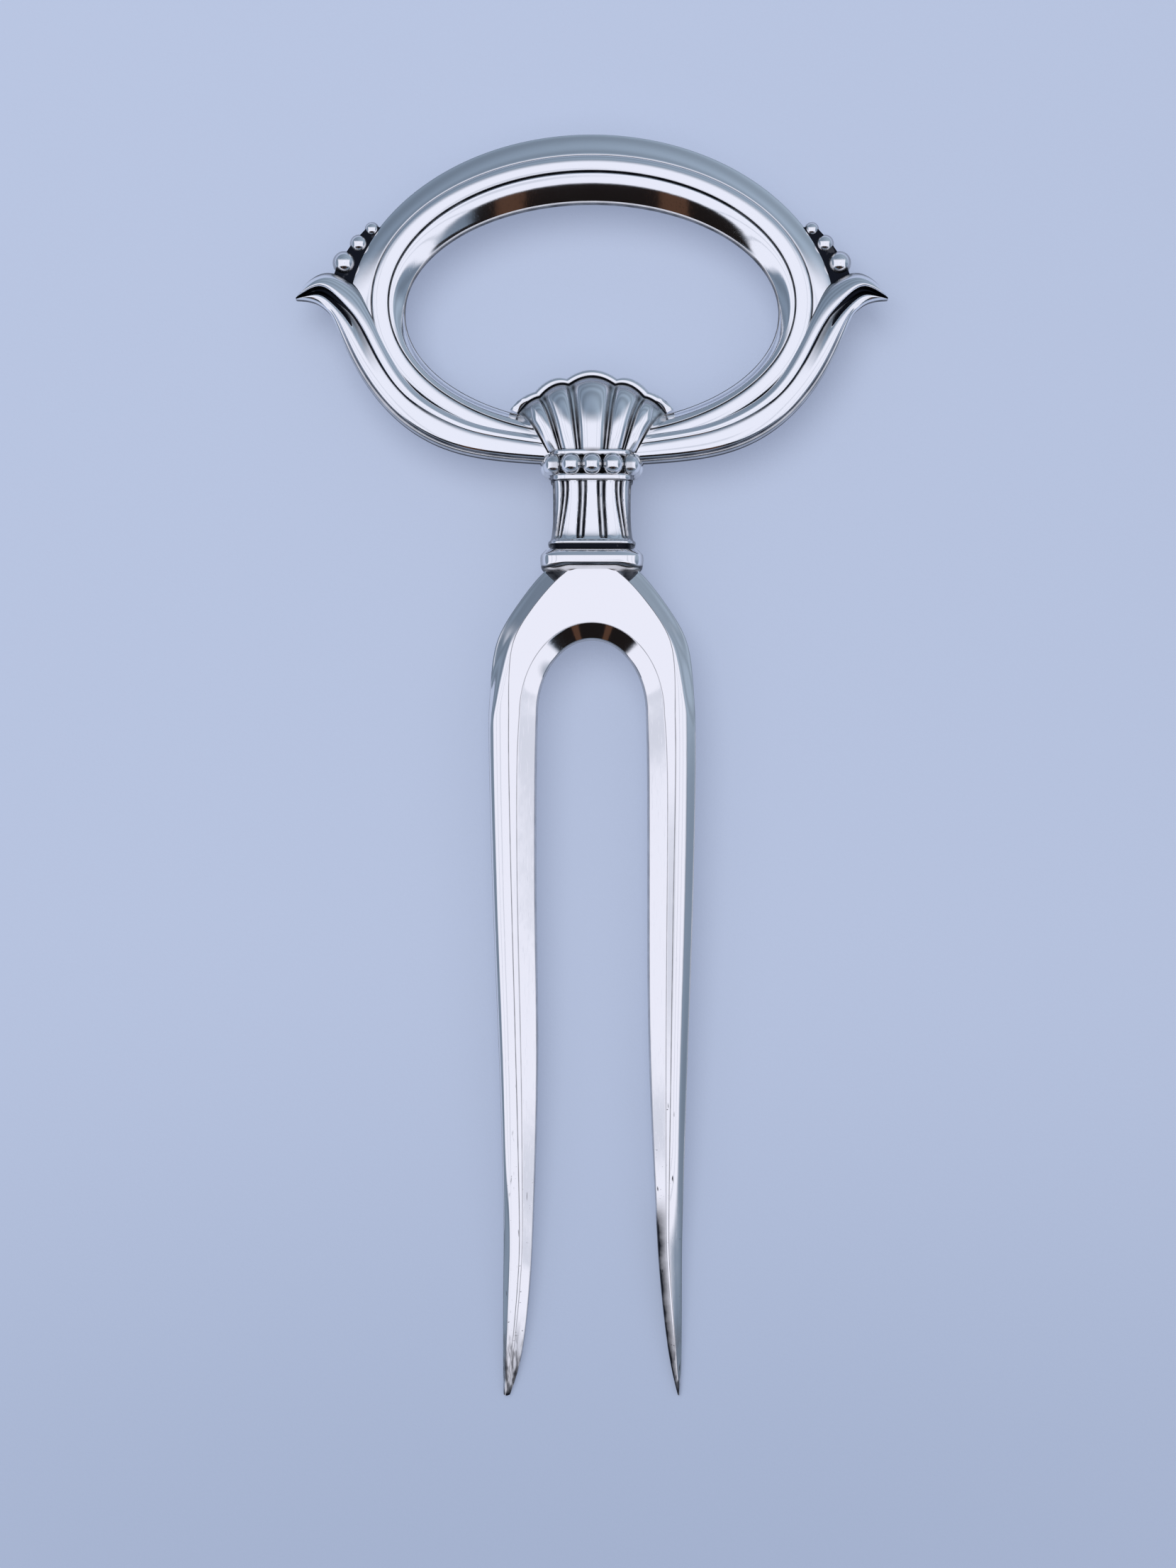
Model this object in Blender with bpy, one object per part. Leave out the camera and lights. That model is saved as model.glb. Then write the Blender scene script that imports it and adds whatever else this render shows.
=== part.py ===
"""Meat fork: two bevelled tines on a broad shoulder, a collar, and an oval ring handle.

The handle is two die-struck half shells soldered at the mid-plane. Each has a moulded ring with a crest,
two curled leaves, a five-lobed fan and a reeded stem. A band of beads runs round the stem, three graded
beads sit on each shoulder of the ring, and the fork's tang is cemented into the stem.

The fork lies on its back: +Y runs from the tine tips to the ring, +Z is up out of the front face, and the
origin is under the middle of its length, at table height.
"""

import math

import bmesh
import bpy
import numpy as np
from mathutils import Matrix

MM = 0.001

# Levels
MID_HEIGHT = 8.95 * MM  # mid-plane of the handle above the table
SEAM_GAP = 0.1 * MM  # between the two half shells
FIT_GAP = 0.3 * MM  # round a piece that sits in another
BEAD_GAP = 0.15 * MM  # round a bead in its seat

# Ring: ovals as (centre along Y, half width, half length), from the finger hole out to the crest edge
HOLE_OVAL = np.array((88.1, 36.0, 21.2)) * MM
GROOVE_OVAL = np.array((89.7, 39.05, 25.2)) * MM
BAND_OVAL = np.array((90.5, 42.35, 27.6)) * MM
CREST_OVAL = np.array((86.5, 47.3, 36.0)) * MM
RING_STATIONS = 56
RING_SCALE = (0.88, 0.14, -0.02)  # share of the height at the sides, and its change up the ring
CREST_FULL, CREST_GONE = 0.05, -0.4  # heights on the oval, -1 to 1, between which the crest fades
BAND_TUCK = 1.6 * MM  # how far the ring runs on under the leaf
# Ring section: oval number (0 hole, 1 groove, 2 band edge, 3 crest edge) and height over the mid-plane
RING_SECTION = (
    (0.0, -1.0), (0.0, 0.8), (0.3, 1.77), (0.6, 2.68), (0.83, 3.13), (0.94, 3.17), (1.0, 2.92), (1.06, 3.14),
    (1.5, 3.36), (1.85, 3.18), (2.0, 2.7), (2.3, 2.35), (2.65, 1.65), (3.0, 0.8), (3.0, -1.0),
)
RING_HOLLOW = (
    (0.4, -3.0), (0.42, 0.6), (0.7, 1.9), (1.3, 2.4), (1.7, 2.1), (1.86, 1.2), (1.86, -3.0),
)
HOLLOW_STATIONS = 28

# Leaf: matched points on its ring-side edge, its groove and its outer edge, from under the fan to the tip
LEAF_RING_SIDE = np.array((
    (8.0, 64.2), (18.4, 65.7), (26.5, 68.3), (34.2, 73.4), (39.3, 81.0), (41.6, 86.2),
    (42.9, 89.2), (44.6, 92.1), (47.5, 94.6), (51.0, 95.75), (54.4, 94.2), (56.8, 91.4),
)) * MM
LEAF_GROOVE = np.array((
    (8.0, 62.4), (18.6, 64.0), (26.9, 66.4), (35.2, 71.5), (40.4, 78.0), (43.0, 83.0),
    (45.2, 86.8), (47.2, 89.2), (49.4, 91.4), (52.2, 92.85), (55.1, 91.8), (57.0, 90.9),
)) * MM
LEAF_OUTER = np.array((
    (8.0, 59.6), (18.5, 60.8), (28.4, 63.5), (37.2, 68.4), (44.0, 75.4), (47.6, 81.8),
    (49.4, 86.0), (50.4, 87.9), (51.6, 89.1), (53.2, 90.1), (55.2, 90.6), (57.0, 90.7),
)) * MM
LEAF_STATIONS = 19
# Leaf section: rail number (0 ring side, 1 groove, 2 outer edge), height by the fan, height at the curl
LEAF_SECTION = (
    (0.0, 2.2, 1.4), (0.2, 2.95, 2.4), (0.5, 3.2, 3.25), (0.85, 3.2, 3.7), (1.0, 3.05, 3.3), (1.03, 3.1, 1.4),
    (1.35, 3.2, 1.15), (1.62, 3.05, 1.5), (1.75, 2.8, 2.05), (1.9, 2.2, 1.8), (2.0, 1.4, 1.2),
)
LEAF_BLEND = (0.25, 0.75)  # stretch of the leaf over which its edge rolls up
LEAF_TIP = 0.86  # where the tip starts to round off
LEAF_TIP_SCALE = 0.35
LEAF_BASE = -1.4 * MM

# Fan of five lobes over the joint of ring and stem
FAN_BASE_Y = 60.9 * MM
FAN_HALF_BASE = 8.5 * MM
FAN_SPREAD = 5.0 * MM  # even widening
FAN_FLARE = 2.2 * MM  # extra widening at the rim
FAN_RIM_Y = 75.9 * MM
FAN_RIM_SAG = 26.0  # fall of the rim from the middle, per metre squared of width
FAN_LOBES = (-1.0, -0.7, -0.31, 0.31, 0.7, 1.0)
FAN_SCALLOP = (0.4 * MM, 0.85 * MM, 1.1 * MM, 0.85 * MM, 0.4 * MM)
FAN_LOBE_RISE = 1.0 * MM
FAN_LOBE_STEPS = (  # place across a lobe, share of its rise
    (-1.0, 0.3), (-0.86, 0.0), (-0.5, 0.82), (0.0, 1.0), (0.5, 0.82), (0.86, 0.0),
)
FAN_UP = (0.0, 0.3, 0.55, 0.72, 0.82, 0.892, 0.914, 0.936, 0.962, 1.0)
FAN_HEIGHT = (6.3, 6.1, 5.4, 4.55, 3.8, 3.02, 2.72, 2.97, 2.97, 2.5)
FAN_SIDE_FALL = (0.5, 0.34, 0.24, 0.16, 0.1, 0.05, 0.0, 0.0, 0.0, 0.0)
FAN_LOBE_SHARE = (0.6, 1.0, 1.0, 0.95, 0.75, 0.25, 0.0, 0.0, 0.0, 0.0)
FAN_BASE = -1.8 * MM

# Stem: (place along Y, half width); a rounded box whose depth is a share of its width
STEM_PROFILE = (
    (62.5, 7.8), (61.2, 7.9), (60.8, 7.95), (55.9, 7.95), (55.55, 7.85), (55.4, 7.7), (54.9, 7.62),
    (49.5, 7.45), (44.9, 7.78), (44.0, 8.1), (43.75, 8.4), (43.2, 8.3),
)
STEM_DEPTH = 0.86
STEM_SQUARENESS = 5.0
REED_COUNT = 14
REED_PLACES = (0.465, 0.92)  # first and second reed beside the middle one, in half widths round the stem
REED_DEPTH = 0.5 * MM
REED_GROOVE = (0.08, 0.25)  # half width of a groove at the foot and the head, in reeds
REEDED = (44.8 * MM, 55.0 * MM)
BORE_HALF_WIDTH = 4.2 * MM
BORE_HALF_DEPTH = 3.5 * MM
BORE_TOP = 65.0 * MM
MOUTH_HALF_WIDTH = 6.2 * MM
MOUTH_HALF_DEPTH = 5.3 * MM
MOUTH_TOP = 46.1 * MM
MOUTH_Y = 43.2 * MM

# Beads
CHANNEL_Y = (56.25 * MM, 60.55 * MM)  # channel round the stem for the bead band
CHANNEL_FLOOR = (5.7 * MM, 4.8 * MM)  # half width and half depth at its floor
CHANNEL_OUTER = (12.0 * MM, 11.0 * MM)
BAND_BEADS = 13
BAND_Y = 58.4 * MM
BAND_HALF = (7.9 * MM, 6.96 * MM)  # half width and half depth of the rounded box the band runs round
BAND_SQUARENESS = 4.0
BAND_BEAD_RADIUS = 1.97 * MM
BAND_WIRE_RADIUS = 0.9 * MM
BAND_WIRE_STEPS = 6
BAND_BEAD_FACES = (12, 6)
SHOULDER_BEAD_FACES = (12, 8)
SHOULDER_BEADS = {  # place across, place along, radius
    "large": np.array((47.7, 97.9, 2.3)) * MM,
    "medium": np.array((44.9, 101.6, 1.78)) * MM,
    "small": np.array((42.4, 104.4, 1.4)) * MM,
}
WEB_OUTLINE = np.array((
    (50.0, 94.6), (49.0, 97.4), (46.1, 101.6), (43.0, 104.9), (40.4, 104.6), (42.6, 99.0), (44.0, 93.0),
)) * MM
WEB_HEIGHT = 0.9 * MM
WEB_BASE = -0.6 * MM

# Collar, its neck and the spigot in the stem's mouth: (place along Y, half width, half depth, squareness)
COLLAR_PROFILE = (
    (38.8, 8.0, 6.2, 5.5), (39.25, 9.2, 7.3, 5.5), (40.4, 9.9, 8.1, 5.5), (41.7, 9.5, 7.65, 5.5),
    (42.15, 9.0, 7.2, 5.5), (42.38, 7.7, 6.7, 5.5), (42.9, 7.7, 6.7, 5.5), (42.91, 5.3, 4.5, 2.6),
    (45.8, 5.3, 4.5, 2.6),
)
COLLAR_STEPS = 32

# Fork: outlines of one tine side as (place across, place along), from the tip to the shoulder
TIP_Y = -122.5 * MM
TINE_ROOT_Y = 11.0 * MM
SHOULDER_Y = 38.5 * MM
TINE_OUTER = np.array((
    (17.3, -122.2), (17.35, -113.0), (17.25, -99.0), (17.2, -85.0), (17.9, -57.0), (18.95, -29.0),
    (19.7, -2.0), (19.85, 11.0),
)) * MM
TINE_RIDGE_OUTER = np.array((
    (17.05, -122.4), (15.95, -112.0), (14.9, -98.0), (14.6, -84.0), (14.9, -57.0), (15.4, -29.0),
    (15.9, -2.0), (15.95, 11.0),
)) * MM
TINE_RIDGE_INNER = np.array((
    (16.95, -122.4), (15.7, -112.0), (14.55, -98.0), (14.1, -84.0), (14.0, -57.0), (14.3, -29.0),
    (14.4, -2.0), (13.9, 11.0),
)) * MM
TINE_INNER = np.array((
    (16.7, -122.2), (14.4, -113.0), (13.0, -99.0), (12.2, -85.0), (11.0, -57.0), (10.8, -29.0),
    (10.65, -2.0), (10.4, 11.0),
)) * MM
TINE_HALF_THICKNESS = np.array((0.55, 1.2, 1.9, 2.3, 2.8, 3.1, 3.3, 3.3)) * MM
SHOULDER_OUTER = np.array(((19.85, 11.0), (19.0, 21.5), (16.6, 28.4), (11.9, 35.2), (9.2, 38.5))) * MM
SHOULDER_RIDGE = np.array(((15.95, 11.0), (15.65, 21.4), (13.4, 28.2), (8.35, 34.9), (4.6, 38.5))) * MM
ARCH_INNER = np.array((10.4, 14.1)) * MM  # half width and rise of the arch between the tines
ARCH_RIDGE = np.array((13.9, 17.4)) * MM
TINE_STATIONS = 15
SHOULDER_STATIONS = 8
TOP_STATIONS = 3
ARCH_SHARE = 0.75  # part of the arch that faces the curved side of the shoulder
TINE_DROP = 8.4 * MM  # fall of the tips below the handle's mid-plane
TINE_DROP_POWER = 1.7
# Outer side from its edge to the ridge: share of the width, share of the half thickness on tine and shoulder
OUTER_SIDE = ((0.0, 0.55, 0.4), (0.2, 0.76, 0.52), (0.5, 0.915, 0.705), (1.0, 1.0, 1.0))
OUTER_TURN = (5 * MM, 24 * MM)  # places along Y between which the outer side changes from tine to shoulder
INNER_EDGE = 0.1  # break of the inner bevel, as a share of its width
INNER_EDGE_HEIGHT = (0.57, 0.43)  # its height on tine and arch, as a share of the half thickness
INNER_TURN = (14 * MM, 22 * MM)  # places along Y between which it changes
TANG_HALF_WIDTHS = (2.7 * MM, 2.0 * MM)  # at the shoulder and at the end
TANG_HALF_DEPTHS = (1.5 * MM, 1.2 * MM)
TANG_START = 37.0 * MM
TANG_END = 60.5 * MM

CEMENT_Y = (46.4 * MM, 62.0 * MM)
ROUND_STEPS = 24
HALF_BLOCK = np.array((200.0, 200.0, 30.0)) * MM  # block that takes away the other half of a shell
HALF_BLOCK_Y = 80.0 * MM


def natural_spline(points, at):
    """Points at the given indices of the natural cubic spline through points spaced one index apart."""
    points = np.asarray(points, float)
    last = len(points) - 1
    system = np.eye(last + 1)
    bend = np.zeros_like(points)
    for i in range(1, last):
        system[i, i - 1:i + 2] = (1, 4, 1)
        bend[i] = 6 * (points[i - 1] - 2 * points[i] + points[i + 1])
    bend = np.linalg.solve(system, bend)
    at = np.asarray(at, float)
    low = np.minimum(at.astype(int), last - 1)
    t = (at - low).reshape((-1,) + (1,) * (points.ndim - 1))
    s = 1 - t
    return (s * points[low] + t * points[low + 1]
            + ((s ** 3 - s) * bend[low] + (t ** 3 - t) * bend[low + 1]) / 6)


def smooth_step(low, high, value):
    t = np.clip((value - low) / (high - low), 0, 1)
    return t * t * (3 - 2 * t)


def rounded_box(half_width, half_depth, squareness, shares):
    """Points (x, z) at shares of the way round a rounded box from its front, and the length round it."""
    angle = np.linspace(0, 2 * math.pi, 4001)
    wave = np.stack((np.sin(angle), np.cos(angle)), 1)
    line = np.sign(wave) * np.abs(wave) ** (2 / squareness) * (half_width, half_depth)
    run = np.concatenate(([0], np.cumsum(np.linalg.norm(np.diff(line, axis=0), axis=1))))
    way = np.asarray(shares) * run[-1]
    return np.stack([np.interp(way, run, line[:, k]) for k in (0, 1)], 1), run[-1]


def material(name, color, metallic, roughness):
    mat = bpy.data.materials.new(name)
    mat.use_nodes = True
    shader = mat.node_tree.nodes["Principled BSDF"]
    shader.inputs["Base Color"].default_value = (*color, 1)
    shader.inputs["Metallic"].default_value = metallic
    shader.inputs["Roughness"].default_value = roughness
    mat.diffuse_color = (*color, 1)
    return mat


def add_object(name, bm, collection, mat=None):
    """Make an object of a bmesh, facing outward and smooth shaded; without a material it is a cutter."""
    bmesh.ops.recalc_face_normals(bm, faces=bm.faces)
    mesh = bpy.data.meshes.new(name)
    bm.to_mesh(mesh)
    bm.free()
    obj = bpy.data.objects.new(name, mesh)
    collection.objects.link(obj)
    if mat:
        mesh.materials.append(mat)
        mesh.shade_smooth()
        mesh.set_sharp_from_angle(angle=math.radians(35))
    else:
        obj.hide_render = True
        obj.display_type = "WIRE"
    return obj


def loft(rings, wrap=False):
    """Skin closed rings of equal length, with capped ends or run round into a loop."""
    bm = bmesh.new()
    rows = [[bm.verts.new(point) for point in ring] for ring in rings]
    for a, b in zip(rows, rows[1:] + rows[:1] if wrap else rows[1:]):
        for i, corner in enumerate(a):
            j = (i + 1) % len(a)
            bm.faces.new((corner, a[j], b[j], b[i]))
    if not wrap:
        bm.faces.new(rows[0])
        bm.faces.new(rows[-1])
    bmesh.ops.remove_doubles(bm, verts=bm.verts, dist=0.01 * MM)
    return bm


def sphere(bm, center, radius, around, up):
    place = Matrix.Translation(center)
    bmesh.ops.create_uvsphere(bm, u_segments=around, v_segments=up, radius=radius, matrix=place)


def oval_rod(bm, y_low, y_high, half_width, half_depth):
    """A straight oval rod along Y."""
    turn = Matrix.Rotation(math.radians(90), 4, "X")
    place = Matrix.Translation((0, (y_low + y_high) / 2, 0))
    size = Matrix.Diagonal((half_width, 1, half_depth, 1))
    bmesh.ops.create_cone(
        bm, cap_ends=True, segments=ROUND_STEPS, radius1=1, radius2=1, depth=y_high - y_low,
        matrix=place @ size @ turn,
    )


def tapered_bar(bm, y_low, y_high, half_widths, half_depths, grow):
    """A bar along Y with one half width and half depth at each end, all grown by the same amount."""
    corners = ((-1, -1), (1, -1), (1, 1), (-1, 1))
    ends = [
        [bm.verts.new((i * (w + grow), y, k * (d + grow))) for i, k in corners]
        for y, w, d in zip((y_low, y_high), half_widths, half_depths)
    ]
    bm.faces.new(ends[0])
    bm.faces.new(ends[1])
    for i in range(4):
        j = (i + 1) % 4
        bm.faces.new((ends[0][i], ends[0][j], ends[1][j], ends[1][i]))


def combine(target, operation, tool):
    modifier = target.modifiers.new(f"{operation.title()} {tool.name}", "BOOLEAN")
    modifier.operation = operation
    modifier.solver = "EXACT"
    modifier.object = tool


def oval_point(oval, angle):
    return np.array((oval[1] * math.cos(angle), oval[0] + oval[2] * math.sin(angle)))


def ring_rings(section, stations, side):
    """Sections of the ring, one at each station round its ovals; side is 1 for the front, -1 for the back."""
    rings = []
    for k in range(stations):
        angle = 2 * math.pi * k / stations
        up = math.sin(angle)
        crest = float(smooth_step(CREST_GONE, CREST_FULL, up))
        scale = RING_SCALE[0] + RING_SCALE[1] * up + RING_SCALE[2] * up ** 2
        tuck = oval_point(BAND_OVAL + np.array((0, BAND_TUCK, BAND_TUCK)), angle)
        edge = tuck + (oval_point(CREST_OVAL, angle) - tuck) * crest
        marks = [oval_point(oval, angle) for oval in (HOLE_OVAL, GROOVE_OVAL, BAND_OVAL)] + [edge]
        ring = []
        for u, height in section:
            i = min(int(u), 2)
            x, y = marks[i] + (marks[i + 1] - marks[i]) * (u - i)
            ring.append((x, y, side * height * MM * (scale if height > 0 else 1)))
        rings.append(ring)
    return rings


def leaf_rings(hand, side):
    """Sections of a leaf from under the fan to its curled tip; hand is 1 on the right and -1 on the left."""
    rings = []
    at = np.linspace(0, len(LEAF_OUTER) - 1, LEAF_STATIONS)
    rails = np.stack([natural_spline(rail, at) for rail in (LEAF_RING_SIDE, LEAF_GROOVE, LEAF_OUTER)], 1)
    for t, marks in zip(at / at[-1], rails):
        blend = float(smooth_step(*LEAF_BLEND, t))
        past = max(0.0, (t - LEAF_TIP) / (1 - LEAF_TIP))
        scale = LEAF_TIP_SCALE + (1 - LEAF_TIP_SCALE) * math.sqrt(1 - past ** 2)
        ring = [(hand * marks[0][0], marks[0][1], side * LEAF_BASE)]
        for u, band, curl in LEAF_SECTION:
            i = min(int(u), 1)
            x, y = marks[i] + (marks[i + 1] - marks[i]) * (u - i)
            ring.append((hand * x, y, side * (band + (curl - band) * blend) * scale * MM))
        ring.append((hand * marks[2][0], marks[2][1], side * LEAF_BASE))
        rings.append(ring)
    return rings


def fan_columns():
    """Columns of the fan as (place across -1 to 1, share of the lobe's rise, scallop of the rim)."""
    columns = []
    for low, high, scallop in zip(FAN_LOBES, FAN_LOBES[1:], FAN_SCALLOP):
        for step, full in FAN_LOBE_STEPS:
            columns.append(((low + high) / 2 + step * (high - low) / 2, full, scallop * (1 - step ** 2)))
    return columns + [(FAN_LOBES[-1], FAN_LOBE_STEPS[0][1], 0.0)]


def fan_rings(side):
    """Sections of the fan from its base on the stem up to its scalloped rim."""
    rings = []
    for p, height, fall, share in zip(FAN_UP, FAN_HEIGHT, FAN_SIDE_FALL, FAN_LOBE_SHARE):
        half_width = FAN_HALF_BASE + FAN_SPREAD * p + FAN_FLARE * p ** 6
        rim_half = FAN_HALF_BASE + FAN_SPREAD + FAN_FLARE
        ring = []
        for q, full, scallop in fan_columns():
            rim = FAN_RIM_Y - FAN_RIM_SAG * (q * rim_half) ** 2 + scallop
            y = FAN_BASE_Y + (rim - FAN_BASE_Y) * p
            z = height * MM * (1 - fall * q * q) + FAN_LOBE_RISE * share * full
            ring.append((q * half_width, y, side * z))
        ring = [(*ring[0][:2], side * FAN_BASE)] + ring + [(*ring[-1][:2], side * FAN_BASE)]
        rings.append(ring)
    return rings + [[(x, y, side * FAN_BASE) for x, y, z in rings[-1]]]


def reed_share(number, around):
    """Share of the way round the stem at which a reed lies, counted from the middle of the front."""
    number = number % REED_COUNT
    other_side = number > REED_COUNT / 2
    number = REED_COUNT - number if other_side else number
    back = number > REED_COUNT / 4
    number = REED_COUNT / 2 - number if back else number
    share = float(np.interp(number, (0, 1, 2, REED_COUNT / 4), (0, *REED_PLACES, around / 4))) / around
    share = 0.5 - share if back else share
    return 1 - share if other_side else share


def stem_rings():
    """Rounded sections of the stem with its reeds, foot and flanges; each groove narrows towards the foot."""
    _, around = rounded_box(1, STEM_DEPTH, STEM_SQUARENESS, (0.0,))
    rings = []
    for y, half_width in STEM_PROFILE:
        reeded = REEDED[0] < y * MM < REEDED[1]
        groove = float(np.interp(y * MM, REEDED, REED_GROOVE))
        steps = [n + f for n in range(REED_COUNT) for f in (0.0, 0.5 - groove, 0.5, 0.5 + groove)]
        shape, _ = rounded_box(1, STEM_DEPTH, STEM_SQUARENESS, [reed_share(n, around) for n in steps])
        half = np.array((1, STEM_DEPTH))
        out = np.sign(shape) * np.abs(shape / half) ** (STEM_SQUARENESS - 1) / half
        out /= np.linalg.norm(out, axis=1)[:, None]
        dip = np.tile((0, 0, REED_DEPTH if reeded else 0.0, 0), REED_COUNT)
        points = shape * half_width * MM - out * dip[:, None]
        rings.append([(x, y * MM, z) for x, z in points])
    return rings


def web_rings(hand, side):
    """The thin web that carries the shoulder beads, as its outline at two heights."""
    return [[(hand * x, y, side * z) for x, y in WEB_OUTLINE] for z in (WEB_BASE, WEB_HEIGHT)]


def channel_rings():
    """The space of the bead channel, an oval tube round the stem."""
    rings = []
    for angle in np.linspace(0, 2 * math.pi, ROUND_STEPS, endpoint=False):
        sizes = (CHANNEL_FLOOR, CHANNEL_FLOOR, CHANNEL_OUTER, CHANNEL_OUTER)
        places = CHANNEL_Y + CHANNEL_Y[::-1]
        rings.append([(w * math.sin(angle), y, d * math.cos(angle)) for (w, d), y in zip(sizes, places)])
    return rings


def half_shell(name, side, collection, cutters, mat):
    """One struck half of the handle, hollow and open at the seam."""
    shell = add_object(name, loft(ring_rings(RING_SECTION, RING_STATIONS, side), wrap=True), collection, mat)
    added = [loft(leaf_rings(hand, side)) for hand in (1, -1)]
    added += [loft(web_rings(hand, side)) for hand in (1, -1)]
    added += [loft(fan_rings(side)), loft(stem_rings())]
    labels = ("leaf_right", "leaf_left", "web_right", "web_left", "fan", "stem")
    for label, bm in zip(labels, added):
        combine(shell, "UNION", add_object(f"{name}_{label}", bm, cutters))
    bore = bmesh.new()
    oval_rod(bore, MOUTH_TOP - MM, BORE_TOP, BORE_HALF_WIDTH, BORE_HALF_DEPTH)
    mouth = bmesh.new()
    oval_rod(mouth, MOUTH_Y - MM, MOUTH_TOP, MOUTH_HALF_WIDTH, MOUTH_HALF_DEPTH)
    seats = bmesh.new()
    for x, y, radius in SHOULDER_BEADS.values():
        for hand in (1, -1):
            sphere(seats, (hand * x, y, 0), radius + BEAD_GAP, *SHOULDER_BEAD_FACES)
    other_half = bmesh.new()
    size = Matrix.Diagonal((*HALF_BLOCK, 1))
    below = Matrix.Translation((0, HALF_BLOCK_Y, -side * (HALF_BLOCK[2] / 2 - SEAM_GAP / 2)))
    bmesh.ops.create_cube(other_half, size=1, matrix=below @ size)
    hollow = loft(ring_rings(RING_HOLLOW, HOLLOW_STATIONS, side), wrap=True)
    channel = loft(channel_rings(), wrap=True)
    labels = ("hollow", "channel", "bore", "mouth", "seats", "half")
    for label, bm in zip(labels, (hollow, channel, bore, mouth, seats, other_half)):
        combine(shell, "DIFFERENCE", add_object(f"{name}_{label}", bm, cutters))
    return shell


def bead_band(collection, cutters, mat):
    """Beaded wire: beads evenly spaced round a rounded box on a thin core."""
    places, _ = rounded_box(*BAND_HALF, BAND_SQUARENESS, np.arange(BAND_BEADS) / BAND_BEADS)
    beads = bmesh.new()
    for x, z in places:
        sphere(beads, (x, BAND_Y, z), BAND_BEAD_RADIUS, *BAND_BEAD_FACES)
    path, _ = rounded_box(*BAND_HALF, BAND_SQUARENESS, np.arange(2 * BAND_BEADS) / (2 * BAND_BEADS))
    rings = []
    for x, z in path:
        ring = []
        for turn in np.linspace(0, 2 * math.pi, BAND_WIRE_STEPS, endpoint=False):
            out = 1 + BAND_WIRE_RADIUS * math.cos(turn) / BAND_HALF[1]
            ring.append((x * out, BAND_Y + BAND_WIRE_RADIUS * math.sin(turn), z * out))
        rings.append(ring)
    band = add_object("bead_band", loft(rings, wrap=True), collection, mat)
    combine(band, "UNION", add_object("bead_band_beads", beads, cutters))
    return band


def collar(collection, cutters, mat):
    """Four-sided rounded collar with a neck and a spigot, slotted for the tang."""
    rings = []
    for y, half_width, half_depth, squareness in COLLAR_PROFILE:
        shape, _ = rounded_box(half_width, half_depth, squareness, np.arange(COLLAR_STEPS) / COLLAR_STEPS)
        rings.append([(x * MM, y * MM, z * MM) for x, z in shape])
    obj = add_object("collar", loft(rings), collection, mat)
    combine(obj, "DIFFERENCE", add_object("collar_slot", tang_bar(FIT_GAP), cutters))
    return obj


def tang_bar(grow):
    bm = bmesh.new()
    tapered_bar(bm, TANG_START, TANG_END + grow, TANG_HALF_WIDTHS, TANG_HALF_DEPTHS, grow)
    return bm


def fork_section(outer, ridge_outer, ridge_inner, inner, half):
    """Closed section of a tine or shoulder from four points in plan and the half thickness."""
    top = [(*outer, 0.0)]
    plain = float(smooth_step(*OUTER_TURN, ridge_outer[1]))
    for f, on_tine, on_shoulder in OUTER_SIDE:
        x, y = outer + (ridge_outer - outer) * f
        top.append((x, y, half * (on_tine + (on_shoulder - on_tine) * plain)))
    top.append((*ridge_inner, half))
    arch = float(smooth_step(*INNER_TURN, inner[1]))
    up = INNER_EDGE_HEIGHT[0] + (INNER_EDGE_HEIGHT[1] - INNER_EDGE_HEIGHT[0]) * arch
    top.append((*(inner + (ridge_inner - inner) * INNER_EDGE), half * up))
    bottom = [(x, y, -z) for x, y, z in reversed(top[1:])]
    return top + [(*inner, 0.0)] + bottom


def fork_sections():
    """Sections of the right half of the fork, from the tine's tip to the middle of the shoulder."""
    at = np.linspace(0, len(TINE_OUTER) - 1, TINE_STATIONS)
    outlines = (TINE_OUTER, TINE_RIDGE_OUTER, TINE_RIDGE_INNER, TINE_INNER)
    rails = [list(natural_spline(points, at)) for points in outlines]
    halves = list(natural_spline(TINE_HALF_THICKNESS, at))
    up = np.linspace(0, len(SHOULDER_OUTER) - 1, SHOULDER_STATIONS + 1)[1:]
    across = np.linspace(1, 0, TOP_STATIONS + 1)[1:]
    for rail, points in ((rails[0], SHOULDER_OUTER), (rails[1], SHOULDER_RIDGE)):
        rail += list(natural_spline(points, up))
        rail += [np.array((points[-1][0] * share, SHOULDER_Y)) for share in across]
    turns = np.concatenate((
        np.linspace(0, ARCH_SHARE, SHOULDER_STATIONS + 1)[1:],
        np.linspace(ARCH_SHARE, 1, TOP_STATIONS + 1)[1:],
    )) * math.pi / 2
    for rail, arch in ((rails[2], ARCH_RIDGE), (rails[3], ARCH_INNER)):
        rail += [np.array((arch[0] * math.cos(a), TINE_ROOT_Y + arch[1] * math.sin(a))) for a in turns]
    halves += [TINE_HALF_THICKNESS[-1]] * len(turns)
    return [fork_section(*points, half) for *points, half in zip(*rails, halves)]


def fork(collection, cutters, mat):
    """Both tines and the shoulder as one bent bar, lofted from tip to tip, with the tang let in."""
    right = fork_sections()
    left = [[(-x, y, z) for x, y, z in ring] for ring in reversed(right[:-1])]
    rings = []
    for ring in right + left:
        bent = []
        for x, y, z in ring:
            reach = max(0.0, (TINE_ROOT_Y - y) / (TINE_ROOT_Y - TIP_Y))
            bent.append((x, y, z - TINE_DROP * reach ** TINE_DROP_POWER))
        rings.append(bent)
    obj = add_object("fork", loft(rings), collection, mat)
    combine(obj, "UNION", add_object("fork_tang", tang_bar(0.0), cutters))
    return obj


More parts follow.
